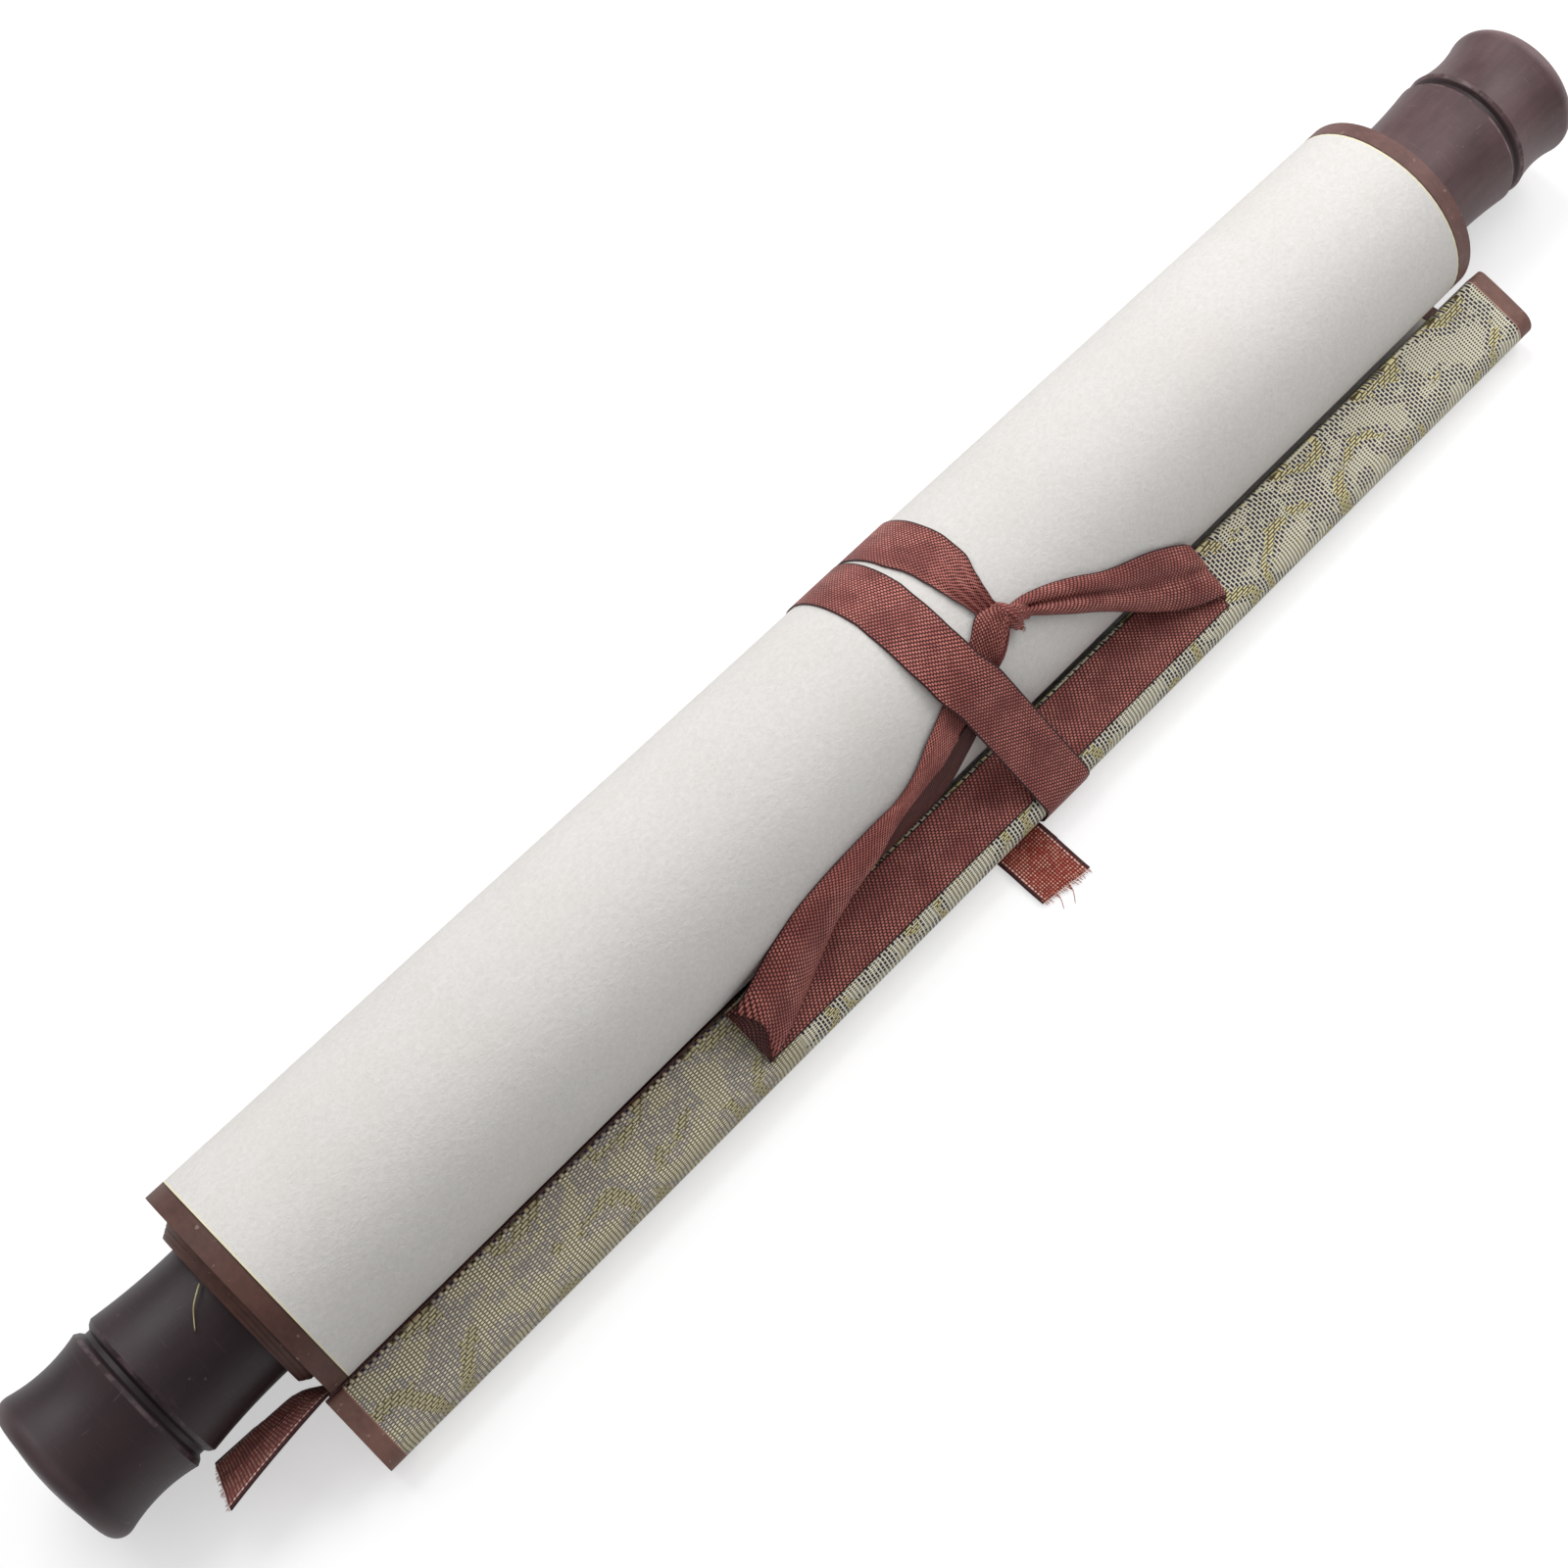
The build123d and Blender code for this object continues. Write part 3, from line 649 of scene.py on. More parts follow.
def threads(name, paths, radius, material):
    """Loose threads, each through places (x, across, out) in mm, as one piece. UV is in mm."""
    vertices, faces, uvs = [], [], []
    sides, thread_v = 5, 0.3
    aside = Vector((0.3, 0.2, 0.93))  # no thread runs this way
    for points in paths:
        path = refine([Vector(p) for p in points], [5] * (len(points) - 1))
        first = len(vertices)
        along = 0.0
        for i, q in enumerate(path):
            run = (path[min(i + 1, len(path) - 1)] - path[max(i - 1, 0)]).normalized()
            side = run.cross(aside).normalized()
            up = side.cross(run)
            thin = radius * (1 - 0.5 * i / len(path))
            along += (q - path[max(i - 1, 0)]).length
            for k in range(sides):
                t = 2 * pi * k / sides
                vertices.append(place(*(q + side * (thin * cos(t)) + up * (thin * sin(t)))))
                uvs.append((along, thread_v))
        for i in range(len(path) - 1):
            for k in range(sides):
                a, b = first + i * sides + k, first + i * sides + (k + 1) % sides
                faces.append((a, b, b + sides, a + sides))
        faces.append(tuple(first + k for k in reversed(range(sides))))
        faces.append(tuple(len(vertices) - sides + k for k in range(sides)))
    return make_mesh(name, vertices, faces, material, uvs)


def fringe(name, corner_a, corner_b, outward, count, reach, material):
    """Frayed warp ends between two corners of a ribbon's end, all places in mm."""
    a, b, out = Vector(corner_a), Vector(corner_b), Vector(outward)
    root_depth, radius = 0.6, 0.13
    paths = []
    for k in range(count):
        t = (k + 0.5) / count
        root = a + (b - a) * t - out * root_depth
        length = reach * (0.35 + 0.65 * rng.random())
        sway = (b - a).normalized() * (0.5 * (rng.random() - 0.5))
        lift = Vector((0, 0, 0.10 * rng.random()))
        middle = root + out * (root_depth + length * 0.4) + sway * 0.4 + lift
        paths.append([root, middle, root + out * (root_depth + length) + sway + lift])
    return threads(name, paths, radius, material)


# Paths round the roll and the rod are (y, z, angle of the normal) in the plane across
# the roll, with y from the roller's axis and z from the table, in mm
def arc(centre, radius, start, stop, n):
    angles = [start + (stop - start) * i / n for i in range(n + 1)]
    return [(centre[0] + radius * cos(a), centre[1] + radius * sin(a), a) for a in angles]


def local(across, out):
    p = ACROSS * across + OUT * out
    return (p.y, p.z + AXIS_Z)


TOP_CENTRE = local(ROD_OUT - TOP_ROUND, ROD_FACE - TOP_ROUND)
LOW_CENTRE = local(LOW_A, LOW_O)
TOP_REACH, LOW_REACH = TOP_ROUND + GAP, LOW_ROUND + PASTE_GAP + SHEET + GAP


def belt_normal(c1, r1, c2, r2):
    """Angle of the places where a belt round two circles leaves one for the other."""
    dy, dz = c2[0] - c1[0], c2[1] - c1[1]
    return (atan2(dz, dy) - acos((r1 - r2) / hypot(dy, dz))) % (2 * pi)


def over_front(x, slack):
    """From the roll's top over its front and the rod's outer edge to the table.

    Slack is how far the ribbon has come off the roll's front where it leaves it.
    """
    z, front_radius = front_circle(x)
    radius = front_radius + SHEET / 2 + GAP
    leave = belt_normal((-FLAT, z), radius + slack, TOP_CENTRE, TOP_REACH)
    turn = belt_normal(TOP_CENTRE, TOP_REACH, LOW_CENTRE, LOW_REACH)
    path = []
    steps = 24
    for i in range(steps + 1):
        a = pi / 2 + (leave - pi / 2) * i / steps
        r = radius + slack * i / steps
        path.append((-FLAT + r * cos(a), z + r * sin(a), a))
    path += arc(TOP_CENTRE, TOP_REACH, leave, turn, 14)
    path += arc(LOW_CENTRE, LOW_REACH, turn, FACE_DOWN, 10)
    return path


def over_back(x):
    """From the roll's top over its back to the table."""
    centre = (0.0, FLOOR_LINE + loose_radius(x))
    return arc(centre, loose_radius(x) + SHEET / 2 + GAP, pi / 2, -pi / 2, 60)


def spread(path, x_start, x_stop):
    """Resample a path evenly and give each place its x."""
    step = 1.2
    lengths = [0.0]
    for p, q in zip(path, path[1:]):
        lengths.append(lengths[-1] + hypot(q[0] - p[0], q[1] - p[1]))
    out = []
    n = max(2, int(lengths[-1] / step))
    j = 0
    for i in range(n + 1):
        at = lengths[-1] * i / n
        while j < len(lengths) - 2 and lengths[j + 1] < at:
            j += 1
        t = (at - lengths[j]) / max(lengths[j + 1] - lengths[j], 1e-9)
        p, q = path[j], path[j + 1]
        out.append((x_start + (x_stop - x_start) * i / n, *[a + (b - a) * t for a, b in zip(p, q)]))
    return out


paper = paper_material()
# painted shadow along each binding, where the white paper's edge lies over the brown
paper_edge_shadow = srgb(48, 32, 30)
edging_left = edging_material("edging_paper_left", srgb(98, 66, 58), srgb(76, 50, 44),
                              ((BINDING_SHADOW_LEFT, paper_edge_shadow),))
edging_right = edging_material("edging_paper_right", srgb(126, 93, 88), srgb(100, 73, 70),
                               ((BINDING_SHADOW_RIGHT, paper_edge_shadow),))
caps = edging_material("cap_paper", srgb(136, 100, 90), srgb(108, 78, 70),
                       ((CAP_SEAM_RIGHT, srgb(196, 150, 136)), (CAP_SEAM_LEFT, srgb(176, 130, 118))))
# The two knobs differ partly in stain and partly by painted shade: the left copy is darker for the lesser light
# at the left end.
stained_left_with_painted_shade = knob_material("stained_wood_left_with_painted_shade", srgb(35, 22, 26), srgb(53, 35, 39), srgb(120, 98, 102))
stained_right = knob_material("stained_wood_right", srgb(72, 51, 53), srgb(104, 79, 81), srgb(170, 146, 148))
dry_straw = straw_material()
plain_wood = plain_wood_material()
brocade = brocade_material()
twill = ribbon_material("ribbon_twill")
# the twill darkened to 0.3 as painted shade, for the strand's shaded wall and folded-under half
shaded_twill = ribbon_material("ribbon_twill_painted_shade", 0.3)
red_weave = loose_weave_material("ribbon_red_weave", srgb(184, 68, 50), srgb(66, 10, 14))
maroon_weave = loose_weave_material("ribbon_maroon_weave", srgb(178, 104, 98), srgb(84, 36, 38))

for node, material in {
    "rolled_sheet": paper, "left_edge_binding": edging_left, "right_edge_binding": edging_right,
    "rod_left_end_cap": caps, "rod_right_end_cap": caps, "rod_brocade_cover": brocade,
    "left_knob": stained_left_with_painted_shade, "right_knob": stained_right,
    "roller_dowel": plain_wood, "top_rod": plain_wood,
}.items():
    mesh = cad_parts[node].data
    mesh.materials.clear()
    mesh.materials.append(material)

# Tie ribbon: from the knot over the back and under the roll, up over the rod and the
# front, over the back again and out under the rod
KNOT_X, KNOT_A = 19.0, 5.9


def table(at, pairs):
    """Value at a place, from (place, value) pairs whose places rise, eased a little."""
    for (p, v), (q, w) in zip(pairs, pairs[1:]):
        if at <= q:
            t = max(0.0, (at - p) / (q - p))
            t = t * t * (3 - 2 * t) * 0.4 + t * 0.6
            return v + (w - v) * t
    return pairs[-1][1]


def under(x, y):
    """A place of the tie ribbon that lies flat on the table, face down."""
    return (x, y, RIBBON, FACE_DOWN)


def pressed(path):
    """A path without what goes through the table."""
    return [(x, y, z, a) if z > RIBBON else under(x, y) for x, y, z, a in path]


def across_of(y, z):
    """Across, from y about the roller's axis and the height over the table."""
    return -y * cos(LEAN) - (z - AXIS_Z) * sin(LEAN)


# The ribbon opens out of its pleats as it goes from the knot over the roll's top and back.
# These give its place along X, its width and its pleats by the angle round the roll, and
# its place along X on the front by the place across.
WRAP_X = ((-129, 19.4), (-120, 18.5), (-105, 18.5), (-94, 19.0), (-83, 18.8), (-69, 18.0), (-40, 17.2),
          (90, 15.1))
WRAP_WIDTH = ((-129, 3.6), (-120, 4.2), (-113, 5.2), (-105, 6.8), (-94, 9.0), (-83, 10.2), (-69, 11.2),
              (-45, 11.5))
WRAP_PLEAT = ((-129, 0.55), (-112, 0.5), (-90, 0.22), (-66, 0.0))
FRONT_X = ((-20, 5.8), (0, 5.4), (7, 6.0), (14, 8.0), (22, 10.4), (30, 12.2), (38, 13.2), (41, 13.8))
KNOT_ANGLE = radians(129)
start_z, start_radius = front_circle(KNOT_X)
top_arc = arc((-FLAT, start_z), start_radius + SHEET / 2 + GAP, KNOT_ANGLE, pi / 2, 30)
wrap, widths, pleats = [], [], []
for y, z, a in top_arc + over_back(KNOT_X)[1:]:
    turned = -degrees(a)
    wrap.append((table(turned, WRAP_X), y, z, a))
    widths.append(table(turned, WRAP_WIDTH))
    pleats.append(table(turned, WRAP_PLEAT))
front = [(table(across_of(y, z), FRONT_X), y, z, a) for y, z, a in over_front(13.6, slack=1.7)]
wrap += [under(x, y) for x, y in ((15.0, -6.0), (14.8, -14.0), (14.6, -24.0), (14.4, -31.0))]
wrap += front[::-1]
wrap += spread(over_back(6.0), x_start=5.8, x_stop=2.4)[1:]
wrap += [under(2.3 - i * 0.12, -4.0 * i) for i in range(1, 9)]
wrap += [under(1.5, -34.0), under(1.3, -38.0)]
wrap = pressed(wrap)


def wrap_rows():
    """Rows for ribbon_mesh from the wrapping path; along a slant the section is wider."""
    rows = []
    for i, (x, y, z, a) in enumerate(wrap):
        before, after = wrap[max(i - 1, 0)], wrap[min(i + 1, len(wrap) - 1)]
        run = Vector([q - p for p, q in zip(before[:3], after[:3])]).normalized()
        w = widths[i] if i < len(widths) else RIBBON_WIDTH
        amp = pleats[i] if i < len(pleats) else 0.0
        skew = w / max(hypot(run.y, run.z), 0.5)
        rows.append((Vector((x, y + AXIS_Y, z)) / 1000, Vector((1, 0, 0)), Vector((0, cos(a), sin(a))),
                     pleated_section(skew, amp)))
    return rows


tie = ribbon_mesh("tie_ribbon_wraps", wrap_rows(), twill)
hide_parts("tie_ribbon")
pieces = [tie]


def on_table(x, y, z):
    """(x, across, out) from x, y about the axis and the height over the table, all mm."""
    return Vector((x, across_of(y, z), -y * sin(LEAN) + (z - AXIS_Z) * cos(LEAN)))


# Loose tail on the table, its end frayed. Each row has its distance from the axis, the
# slant of its right edge, its two edges along X and its height.
TIE_TAIL = ((-33.0, 0.0, -4.3, 7.2, 0.05), (-37.0, 0.0, -4.5, 7.0, 0.17), (-41.0, 0.0, -4.7, 6.8, 0.05),
            (-44.0, 0.9, -4.8, 6.5, 0.17), (-45.0, 1.6, -4.8, 6.4, 0.20))
tail_rows = []
for i, (y, slant, left, right, height) in enumerate(TIE_TAIL):
    tail_rows.append([on_table(left + (right - left) * t, y - slant * t, height + 0.12 * sin(3 * pi * t + i))
                      for t in (j / 8 for j in range(9))])
away = on_table(0, -1, 0) - on_table(0, 0, 0)
long_threads = [[on_table(-1.6, -45.4, 0.3), on_table(-1.9, -46.8, 0.5), on_table(-3.0, -48.6, 0.3)],
                [on_table(1.2, -45.8, 0.3), on_table(0.8, -47.4, 0.6), on_table(-0.8, -49.4, 0.3)]]
pieces += [
    cloth("tie_ribbon_tail", tail_rows, red_weave, fine=2, guard=False),
    fringe("tie_ribbon_fringe", on_table(-4.6, -44.9, 0.3), on_table(6.2, -46.5, 0.3), away,
           26, 1.5, red_weave),
    threads("tie_ribbon_long_threads", long_threads, 0.12, red_weave)]

# Hanging ribbon: the flat run on the rod's face
RUN_INSET = 0.5
RUN_A, RUN_O = ROD_IN + RUN_INSET + RIBBON_WIDTH / 2, ROD_FACE - CROWN / 4 + 0.03


def face_out(across):
    """The rod's crowned face, in mm along OUT."""
    t = (across - ROD_IN) / ROD_WIDTH
    return ROD_FACE - CROWN * (1 - t) + CROWN * t * (1 - t)


across_run = [RUN_A + RIBBON_WIDTH / 2 * t for t in (-1, -0.66, -0.33, 0, 0.33, 0.66, 1)]
flat_rows = []
for x in (-61.25, -60.9, -60.2, -45, -30, -15, 0, 15, 30, 45, 60.2, 60.9, 61.25):
    sink = 0.45 if abs(x) > 61 else 0.12 if abs(x) > 60.5 else 0.0  # into the slits
    flat_rows.append([Vector((x, across, face_out(across) + 0.04 - sink)) for across in across_run])
flat_run = cloth("hanging_ribbon_run", flat_rows, twill, guard=False)
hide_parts("hanging_ribbon")
pieces.append(flat_run)


def pleated(row, amount=0.0):
    """A row with a new place between each two, which amount lifts into a pleat."""
    row = refine([Vector(q) for q in row], [2] * (len(row) - 1))
    return [q + Vector((0, 0, amount * (j % 2))) for j, q in enumerate(row)]


# Left strand: out of the slit as a wedge with an open end. Its crest is the top edge of
# the end, and the wall goes down from there into the slit with the ribbon's back outward, in the twill darkened
# as painted shade.
crest = [Vector(q) for q in ((-61.0, 22.9, 8.4), (-60.2, 24.6, 9.9), (-59.3, 26.4, 10.4), (-59.0, 28.3, 9.9),
                             (-59.6, 30.3, 8.8), (-60.6, 32.1, 7.7), (-61.2, 33.6, 6.8))]
wall = [[Vector((-61.3, q.y, 6.0)) for q in crest],
        [Vector((-61.8, q.y, 0.5 * (q.z + 6.6))) for q in crest],
        [q + Vector((-0.5, 0, -0.5)) for q in crest],
        [q + Vector((0.3, 0, -0.1)) for q in crest]]
pieces.append(cloth("hanging_ribbon_left_wall", wall, shaded_twill, fine=2, step=0.5))

# It goes on folded along its length, under the crossing turn and up to the knot. Rows run
# from the edge on the roll to the edge on the rod: (x, places across and out).
LEFT_RISE = (
    (-57.6, ((21.8, 10.2), (23.8, 11.4), (26.0, 11.2), (28.1, 10.0), (30.0, 8.8), (31.5, 7.9), (32.6, 7.1))),
    (-54.0, ((20.6, 11.2), (22.6, 12.4), (24.9, 12.1), (27.0, 10.8), (28.8, 9.4), (30.2, 8.3), (31.3, 7.2))),
    (-49.0, ((19.0, 12.8), (21.0, 13.7), (23.1, 13.3), (25.2, 12.0), (27.0, 10.4), (28.4, 8.9), (29.3, 7.6))),
    (-43.0, ((17.5, 15.1), (19.2, 15.8), (21.0, 15.4), (22.8, 14.0), (24.4, 12.2), (25.8, 10.2), (26.6, 8.2))),
    (-37.0, ((16.8, 16.2), (18.2, 16.9), (19.7, 16.7), (21.2, 15.9), (22.6, 14.6), (23.6, 12.9), (23.8, 11.2))),
    (-31.0, ((16.4, 16.8), (17.6, 17.4), (18.9, 17.3), (20.2, 16.7), (21.4, 15.8), (22.1, 14.6), (21.9, 13.2))),
    (-25.5, ((16.2, 17.2), (17.2, 17.8), (18.3, 17.7), (19.4, 17.3), (20.5, 16.6), (21.1, 15.6), (20.7, 14.4))),
    (-20.5, ((16.1, 17.4), (16.9, 18.0), (17.6, 18.0), (18.4, 17.8), (19.1, 17.3), (19.5, 16.6), (19.1, 15.7))),
    (-16.0, ((16.1, 17.4), (16.6, 18.0), (17.1, 18.1), (17.6, 18.0), (18.1, 17.7), (18.5, 17.2), (18.2, 16.3))),
    (-10.5, ((14.8, 18.7), (15.4, 19.2), (16.0, 19.1), (16.6, 18.8), (17.2, 18.3), (17.7, 17.7), (17.4, 16.9))),
    (-5.0, ((12.0, 21.0), (13.0, 21.1), (14.0, 20.7), (15.0, 20.1), (16.0, 19.3), (16.9, 18.4), (16.6, 17.7))))
# Under the crossing turn: (height over the roll, depth of the pleats, places x and across)
LEFT_CROSSING = (
    (0.45, 0.0, ((0.0, 9.8), (0.2, 10.9), (0.4, 12.0), (0.6, 13.1), (0.8, 14.2), (1.0, 15.2), (1.0, 15.6))),
    (0.22, 0.06, ((4.4, 8.0), (4.9, 9.5), (5.4, 11.0), (5.8, 12.6), (6.0, 13.6), (6.0, 14.6), (5.9, 15.6))),
    (0.22, 0.10, ((9.0, 6.0), (9.6, 7.4), (10.1, 8.9), (10.6, 10.5), (10.9, 11.6), (11.0, 12.4), (11.0, 13.2))),
    (0.35, 0.18, ((12.4, 4.5), (12.7, 5.8), (13.0, 7.2), (13.2, 8.7), (13.2, 9.9), (13.2, 10.9), (13.1, 11.7))))
# Up to the knot: (depth of the pleats, places x, across and out)
LEFT_TOP = (
    (0.28, ((15.2, 2.5, 24.6), (15.6, 4.0, 25.1), (15.9, 5.6, 25.1), (15.9, 7.2, 24.8), (15.7, 8.8, 24.2),
            (15.4, 10.0, 23.4), (15.2, 10.7, 22.8))),
    (0.30, ((16.6, 2.1, 24.9), (17.0, 3.4, 25.6), (17.4, 4.8, 25.9), (17.5, 6.2, 25.7), (17.4, 7.6, 25.1),
            (17.1, 8.8, 24.2), (16.9, 9.6, 23.6))),
    (0.28, ((18.0, 2.5, 25.3), (18.4, 3.5, 26.2), (18.8, 4.6, 26.7), (19.0, 5.6, 26.7), (18.9, 6.6, 26.2),
            (18.6, 7.6, 25.4), (18.2, 8.4, 24.6))),
    (0.15, ((19.1, 3.0, 25.8), (19.4, 3.6, 26.6), (19.6, 4.3, 27.0), (19.7, 4.9, 27.0), (19.7, 5.6, 26.7),
            (19.6, 6.3, 26.1), (19.4, 6.9, 25.5))))
left_rows = [pleated(crest)]
left_rows += [pleated([(x, a, o) for a, o in row]) for x, row in LEFT_RISE]
left_rows += [pleated([(x, a, roll_front(x, a)[0] + above) for x, a in row], depth)
              for above, depth, row in LEFT_CROSSING]
left_rows += [pleated(row, depth) for depth, row in LEFT_TOP]
pieces.append(cloth("hanging_ribbon_left_strand", left_rows, twill, fine=2))

# The strand's folded-under half, whose back shows below it, in the twill darkened as painted shade
fold_rows = [[Vector((x, a, o)) for a, o in row] for x, row in (
    (-39.0, ((22.6, 11.6), (23.0, 10.2), (23.4, 8.8), (23.8, 7.6))),
    (-33.0, ((21.0, 12.6), (21.4, 11.0), (21.8, 9.2), (22.2, 7.6))),
    (-26.0, ((19.6, 14.0), (20.4, 12.2), (21.0, 10.2), (21.5, 7.8))),
    (-19.0, ((18.2, 15.0), (19.4, 13.2), (20.4, 11.0), (21.4, 8.2))),
    (-12.0, ((17.2, 16.0), (18.7, 14.0), (20.0, 11.6), (21.3, 8.6))),
    (-5.0, ((16.4, 16.9), (17.9, 15.1), (19.3, 12.8), (20.7, 10.2))),
    (1.0, ((15.2, 18.2), (16.3, 17.0), (17.4, 15.6), (18.6, 13.9))),
    (5.0, ((14.6, 18.6), (15.4, 18.0), (16.2, 17.2), (17.0, 16.2))))]
pieces.append(cloth("hanging_ribbon_left_fold", fold_rows, shaded_twill, fine=3))

# Right strand: from the knot to its slit, in two pleats. Rows are (x, edge on the roll, edge
# on the rod, depth of the pleats).
right_rows = [two_pleat_row(*row) for row in (
    (20.2, (4.8, 25.4), (7.2, 25.0), 0.4),
    (22.4, (4.8, 24.9), (7.6, 24.2), 0.7),
    (25.0, (5.1, 24.2), (9.1, 22.9), 0.8),
    (28.0, (5.9, 23.8), (11.2, 21.6), 0.9),
    (32.0, (7.4, 23.2), (13.9, 19.8), 1.0),
    (36.0, (9.3, 22.4), (16.4, 17.9), 1.0),
    (40.0, (11.4, 20.9), (19.0, 15.2), 1.0),
    (44.0, (13.0, 19.7), (21.8, 12.4), 1.0),
    (48.0, (14.2, 18.7), (24.6, 9.8), 0.9),
    (52.0, (15.5, 17.4), (27.2, 8.0), 0.9),
    (55.5, (16.9, 15.4), (29.2, 7.4), 0.9),
    (58.5, (18.3, 13.6), (30.4, 7.2), 0.9),
    (60.8, (19.6, 12.0), (31.2, 7.1), 0.8),
    (62.0, (20.9, 10.2), (31.8, 7.0), 0.5),
    (61.9, (22.2, 7.6), (32.2, 6.7), 0.2),
    (61.4, (23.0, 6.0), (32.6, 6.0), 0.0))]
pieces.append(cloth("hanging_ribbon_right_strand", right_rows, twill))

# Tail in the nip between roll and rod, which comes out beyond the left end. Each row has
# its top edge, its low edge and the depth of its waves.
nip = ROD_IN - 0.1 - RIBBON
nip_top = RUN_O + 0.2
nip_rows = []
for top, low, wave in (
        ((-58.0, nip, nip_top - 1.4), (-58.0, nip, nip_top - 9.0), 0.0),
        ((-75.0, nip, nip_top), (-75.0, nip, nip_top - 11.3), 0.0),
        ((-110.0, nip, nip_top - 0.2), (-110.0, nip, nip_top - 11.4), 0.0),
        ((-149.0, nip, nip_top), (-149.0, nip - 0.6, nip_top - 11.4), 0.0),
        ((-151.4, nip - 0.1, 6.1), (-151.8, 20.0, -5.0), 0.0),
        ((-152.2, 21.3, 5.8), (-154.2, 18.4, -4.7), 0.2),
        ((-153.6, 21.3, 5.5), (-156.6, 17.5, -4.3), 0.4),
        ((-159.0, 21.7, 5.2), (-161.0, 17.1, -3.8), 0.5),
        ((-166.2, 22.4, 5.0), (-166.0, 16.9, -3.6), 0.4),
        ((-172.0, 23.1, 4.8), (-170.2, 16.7, -3.4), 0.35),
        ((-175.4, 23.6, 4.6), (-172.7, 16.6, -3.4), 0.3)):
    top, low = Vector(top), Vector(low)
    off = Vector((0, low.z - top.z, top.y - low.y)).normalized()
    nip_rows.append([top + (low - top) * (j / 8) + off * (wave * (0.5 + 0.5 * cos(pi * 3 * (j / 4 - 1))))
                     for j in range(9)])
pieces += [
    cloth("hanging_ribbon_tail", nip_rows, maroon_weave, fine=2, guard=False),
    fringe("hanging_ribbon_fringe", (-175.3, 23.4, 4.4), (-172.7, 16.9, -3.2), (-1, 0, 0.1),
           22, 1.1, maroon_weave)]

# Knot: a soft core with a pleated band wrapped over it and a frayed stub
foot_o, tilt = roll_front(KNOT_X, KNOT_A)
knot_middle = Vector((KNOT_X + 0.5, KNOT_A - 0.3, foot_o))
knot_up = Vector((0, sin(tilt), cos(tilt)))
over_roll = Vector((0, cos(tilt), -sin(tilt)))
knot_right = Vector((1, 0, 0)) * cos(PHOTO_TURN) + over_roll * sin(PHOTO_TURN)
knot_down = Vector((-1, 0, 0)) * sin(PHOTO_TURN) + over_roll * cos(PHOTO_TURN)


def at_knot(right, down, up):
    """(x, across, out) from places as the photograph shows them, mm from the knot's middle."""
    return knot_middle + knot_right * right + knot_down * down + knot_up * up


def knot_band(name, path, flat_width, waves, depth):
    """A pleated band over the knot, along (right, down, up, width) places.

    Its edges bend down, and its weave is that of flat_width mm of the ribbon.
    """
    grid = []
    for k, (r, d, h, w) in enumerate(path):
        before, after = path[max(k - 1, 0)], path[min(k + 1, len(path) - 1)]
        run = Vector((after[0] - before[0], after[1] - before[1]))
        run = run.normalized() if run.length else Vector((1, 0))
        side = Vector((-run.y, run.x))
        row = []
        for j in range(9):
            u = -1 + j / 4
            rise = depth * (0.5 + 0.5 * cos(pi * waves * u)) - 0.45 * u * u * w / 3
            row.append(at_knot(r + side.x * u * w / 2, d + side.y * u * w / 2, h + rise))
        grid.append(row)
    return cloth(name, grid, twill, fine=3, step=0.3, guard=False, width=flat_width)


wrapped_path = ((-1.9, -1.7, 0.4, 1.5), (-1.3, -2.0, 2.0, 1.9), (-0.1, -1.3, 3.3, 2.6), (1.3, -0.3, 3.5, 3.0),
                (2.5, 0.4, 2.7, 2.6), (3.2, 0.8, 1.7, 1.9), (3.5, 0.9, 1.0, 1.3))
right_path = ((0.4, -1.2, 2.2, 2.2), (1.8, -1.5, 2.8, 2.5), (3.3, -1.7, 2.3, 2.7), (4.9, -2.1, 1.2, 2.9))
stub_path = ((2.2, 0.5, 2.5, 1.7), (3.0, 0.8, 1.9, 1.5), (3.7, 1.0, 1.5, 1.3))
pieces += [
    knot_band("knot_wrapped_band", wrapped_path, 8.0, 3, 0.3),
    knot_band("knot_right_band", right_path, 8.0, 3, 0.3),
    knot_band("knot_stub", stub_path, 5.0, 2, 0.2)]

RINGS, SIDES = 8, 16
core_vertices, core_faces = [], []
for i in range(RINGS + 1):
    for j in range(SIDES):
        p, q = pi * i / RINGS, 2 * pi * j / SIDES
        lump = 1 + 0.06 * sin(3 * q + i)
        core_vertices.append(place(*at_knot(2.2 * sin(p) * cos(q) * lump + 0.4,
                                            1.9 * sin(p) * sin(q) * lump - 0.4, 1.7 + 1.6 * cos(p))))
for i in range(RINGS):
    for j in range(SIDES):
        a, b = i * SIDES + j, i * SIDES + (j + 1) % SIDES
        core_faces.append((a, a + SIDES, b + SIDES, b))
pieces.append(make_mesh("knot_core", core_vertices, core_faces, twill))

# Loose threads at the knot
strays = [[at_knot(0.4, -1.8, 2.6), at_knot(1.6, -3.2, 3.0), at_knot(2.9, -4.9, 2.8)]]
for k in range(9):
    r = rng.random()
    strays.append([at_knot(3.3, 0.5 + 0.9 * k / 8, 1.7), at_knot(3.8 + 0.3 * r, 0.6 + 1.1 * k / 8, 1.6),
                   at_knot(4.0 + 0.5 * r, 0.7 + 1.3 * k / 8, 1.4 + r * 0.3)])
pieces.append(threads("knot_threads", strays, 0.06, twill))

for piece in pieces:
    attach(piece, "root")

# A dry straw fibre that has stuck to the left knob
straw_path = [(-154.9, -6.5, 13.1), (-156.4, -5.6, 13.9), (-158.2, -4.2, 14.2), (-160.3, -1.5, 14.2)]
straw = threads("straw_fibre", [straw_path], 0.2, dry_straw)
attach(straw, "root")

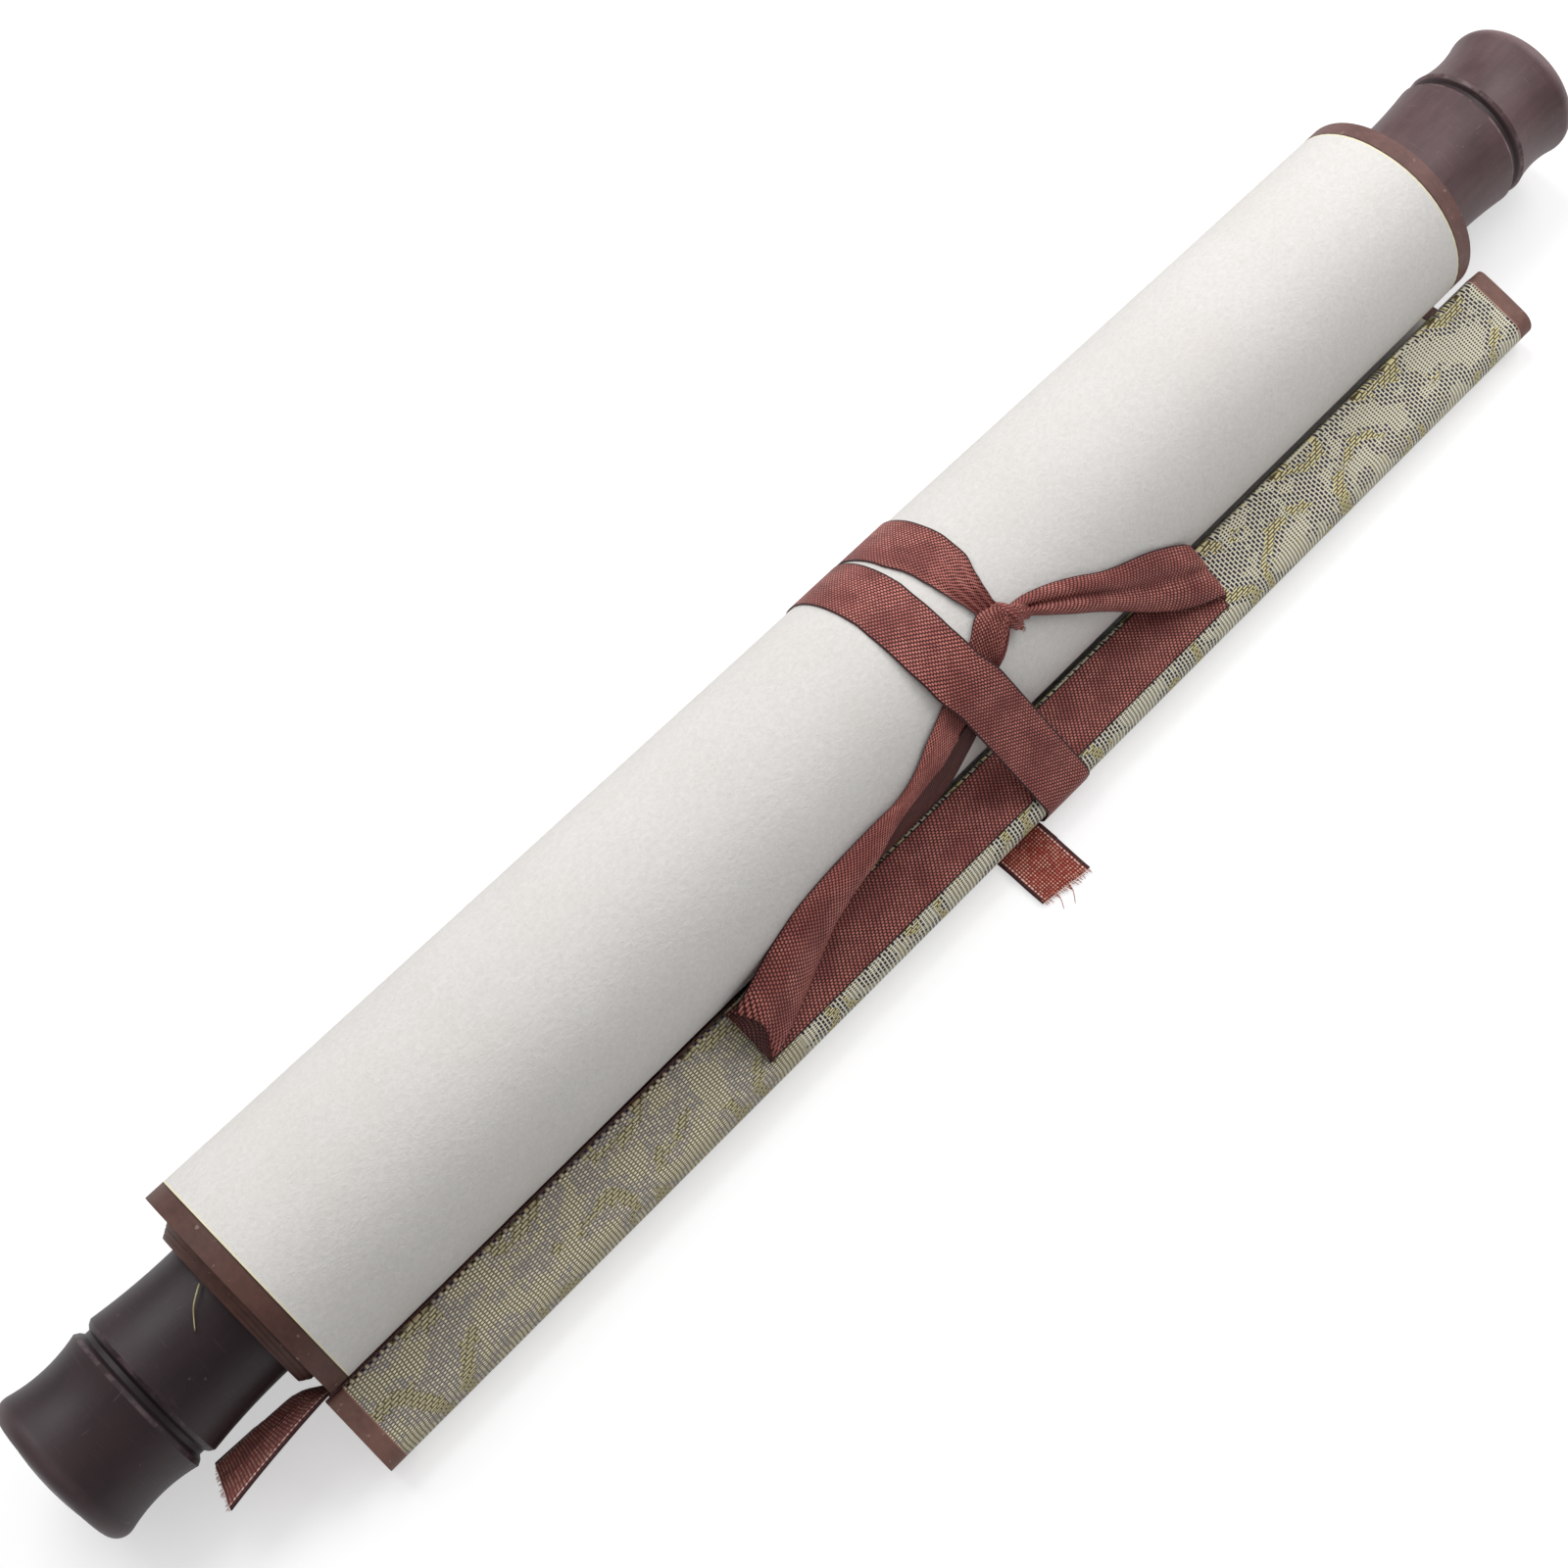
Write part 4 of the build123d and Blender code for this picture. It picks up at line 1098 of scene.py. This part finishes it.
# Camera at the photograph's place: beyond the left half, looking along to the right
EYE_ALONG, EYE_OUT, LOOK_ALONG = -0.1469, 0.4575, radians(17.87)
eye = place(0, 0, 0) + ALONG * EYE_ALONG + OUT * EYE_OUT
forward = ALONG * sin(LOOK_ALONG) - OUT * cos(LOOK_ALONG)
flat_right = ALONG * cos(LOOK_ALONG) + OUT * sin(LOOK_ALONG)
right = flat_right * cos(PHOTO_TURN) + ACROSS * sin(PHOTO_TURN)
down = -flat_right * sin(PHOTO_TURN) + ACROSS * cos(PHOTO_TURN)
camera_data = bpy.data.cameras.new("camera")
camera = bpy.data.objects.new("camera", camera_data)
bpy.context.scene.collection.objects.link(camera)
camera.matrix_world = Matrix.Translation(eye) @ Matrix((right, -down, -forward)).transposed().to_4x4()
camera_data.sensor_width = 36.0
camera_data.lens = 60.1
camera_data.shift_x = -0.0589
camera_data.shift_y = -0.0569
camera_data.clip_start = 0.01
camera_data.clip_end = 20
bpy.context.scene.camera = camera

# Floor, which shows white where nothing shades it
s = Shader("floor_white")
path_node = s.node("LightPath")
seen = s.math("MAXIMUM", path_node.outputs["Is Camera Ray"], path_node.outputs["Is Glossy Ray"])
far = s.step(s.vec("LENGTH", s.point, out=1), 0.3, 0.9)
s.bsdf.inputs["Emission Color"].default_value = (1, 1, 1, 1)
s.put(s.bsdf.inputs["Emission Strength"], s.mul(seen, s.add(0.5, s.mul(far, 0.3))))
floor_white = s.finish((0.66, 0.66, 0.66), 0.9, 0.1)
FLOOR_HALF, FLOOR_DROP = 3, 0.0003
corners = [(x * FLOOR_HALF, y * FLOOR_HALF, -FLOOR_DROP) for x, y in ((-1, -1), (1, -1), (1, 1), (-1, 1))]
floor = make_mesh("floor", corners, [(0, 1, 2, 3)], floor_white)

# Light from all round, weaker near the horizon; the camera itself sees plain white
AMBIENT_LOW, AMBIENT_HIGH = 0.185, 0.518
world = bpy.data.worlds.new("studio")
bpy.context.scene.world = world
world.use_nodes = True
nodes, links = world.node_tree.nodes, world.node_tree.links
background = nodes["Background"]
background.inputs["Color"].default_value = (1, 1, 1, 1)
direction = nodes.new("ShaderNodeTexCoord")
parts = nodes.new("ShaderNodeSeparateXYZ")
links.new(direction.outputs["Generated"], parts.inputs[0])
by_height = nodes.new("ShaderNodeMapRange")
links.new(parts.outputs["Z"], by_height.inputs[0])
for k, value in enumerate((0.0, 1.0, AMBIENT_LOW, AMBIENT_HIGH), 1):
    by_height.inputs[k].default_value = value
light_path = nodes.new("ShaderNodeLightPath")
glow = nodes.new("ShaderNodeMix")
glow.data_type = "FLOAT"
links.new(light_path.outputs["Is Camera Ray"], glow.inputs[0])
links.new(by_height.outputs[0], glow.inputs[2])
glow.inputs[3].default_value = 1.0
links.new(glow.outputs[0], background.inputs["Strength"])


def area_light(name, at, target, size, watts):
    """A round soft light; places and size are in metres."""
    data = bpy.data.lights.new(name, "AREA")
    data.shape = "DISK"
    data.size = size
    data.energy = watts
    light = bpy.data.objects.new(name, data)
    light.location = at
    light.rotation_euler = (Vector(target) - Vector(at)).to_track_quat("-Z", "Y").to_euler()
    bpy.context.scene.collection.objects.link(light)


area_light("key", (0.1, 0.78, 1.1), (0, 0, 0), 1.0, 10.3)
area_light("side", (0.6, -0.08, 0.47), (0.05, 0, 0), 0.5, 2.3)

bpy.context.scene.view_settings.view_transform = "Standard"
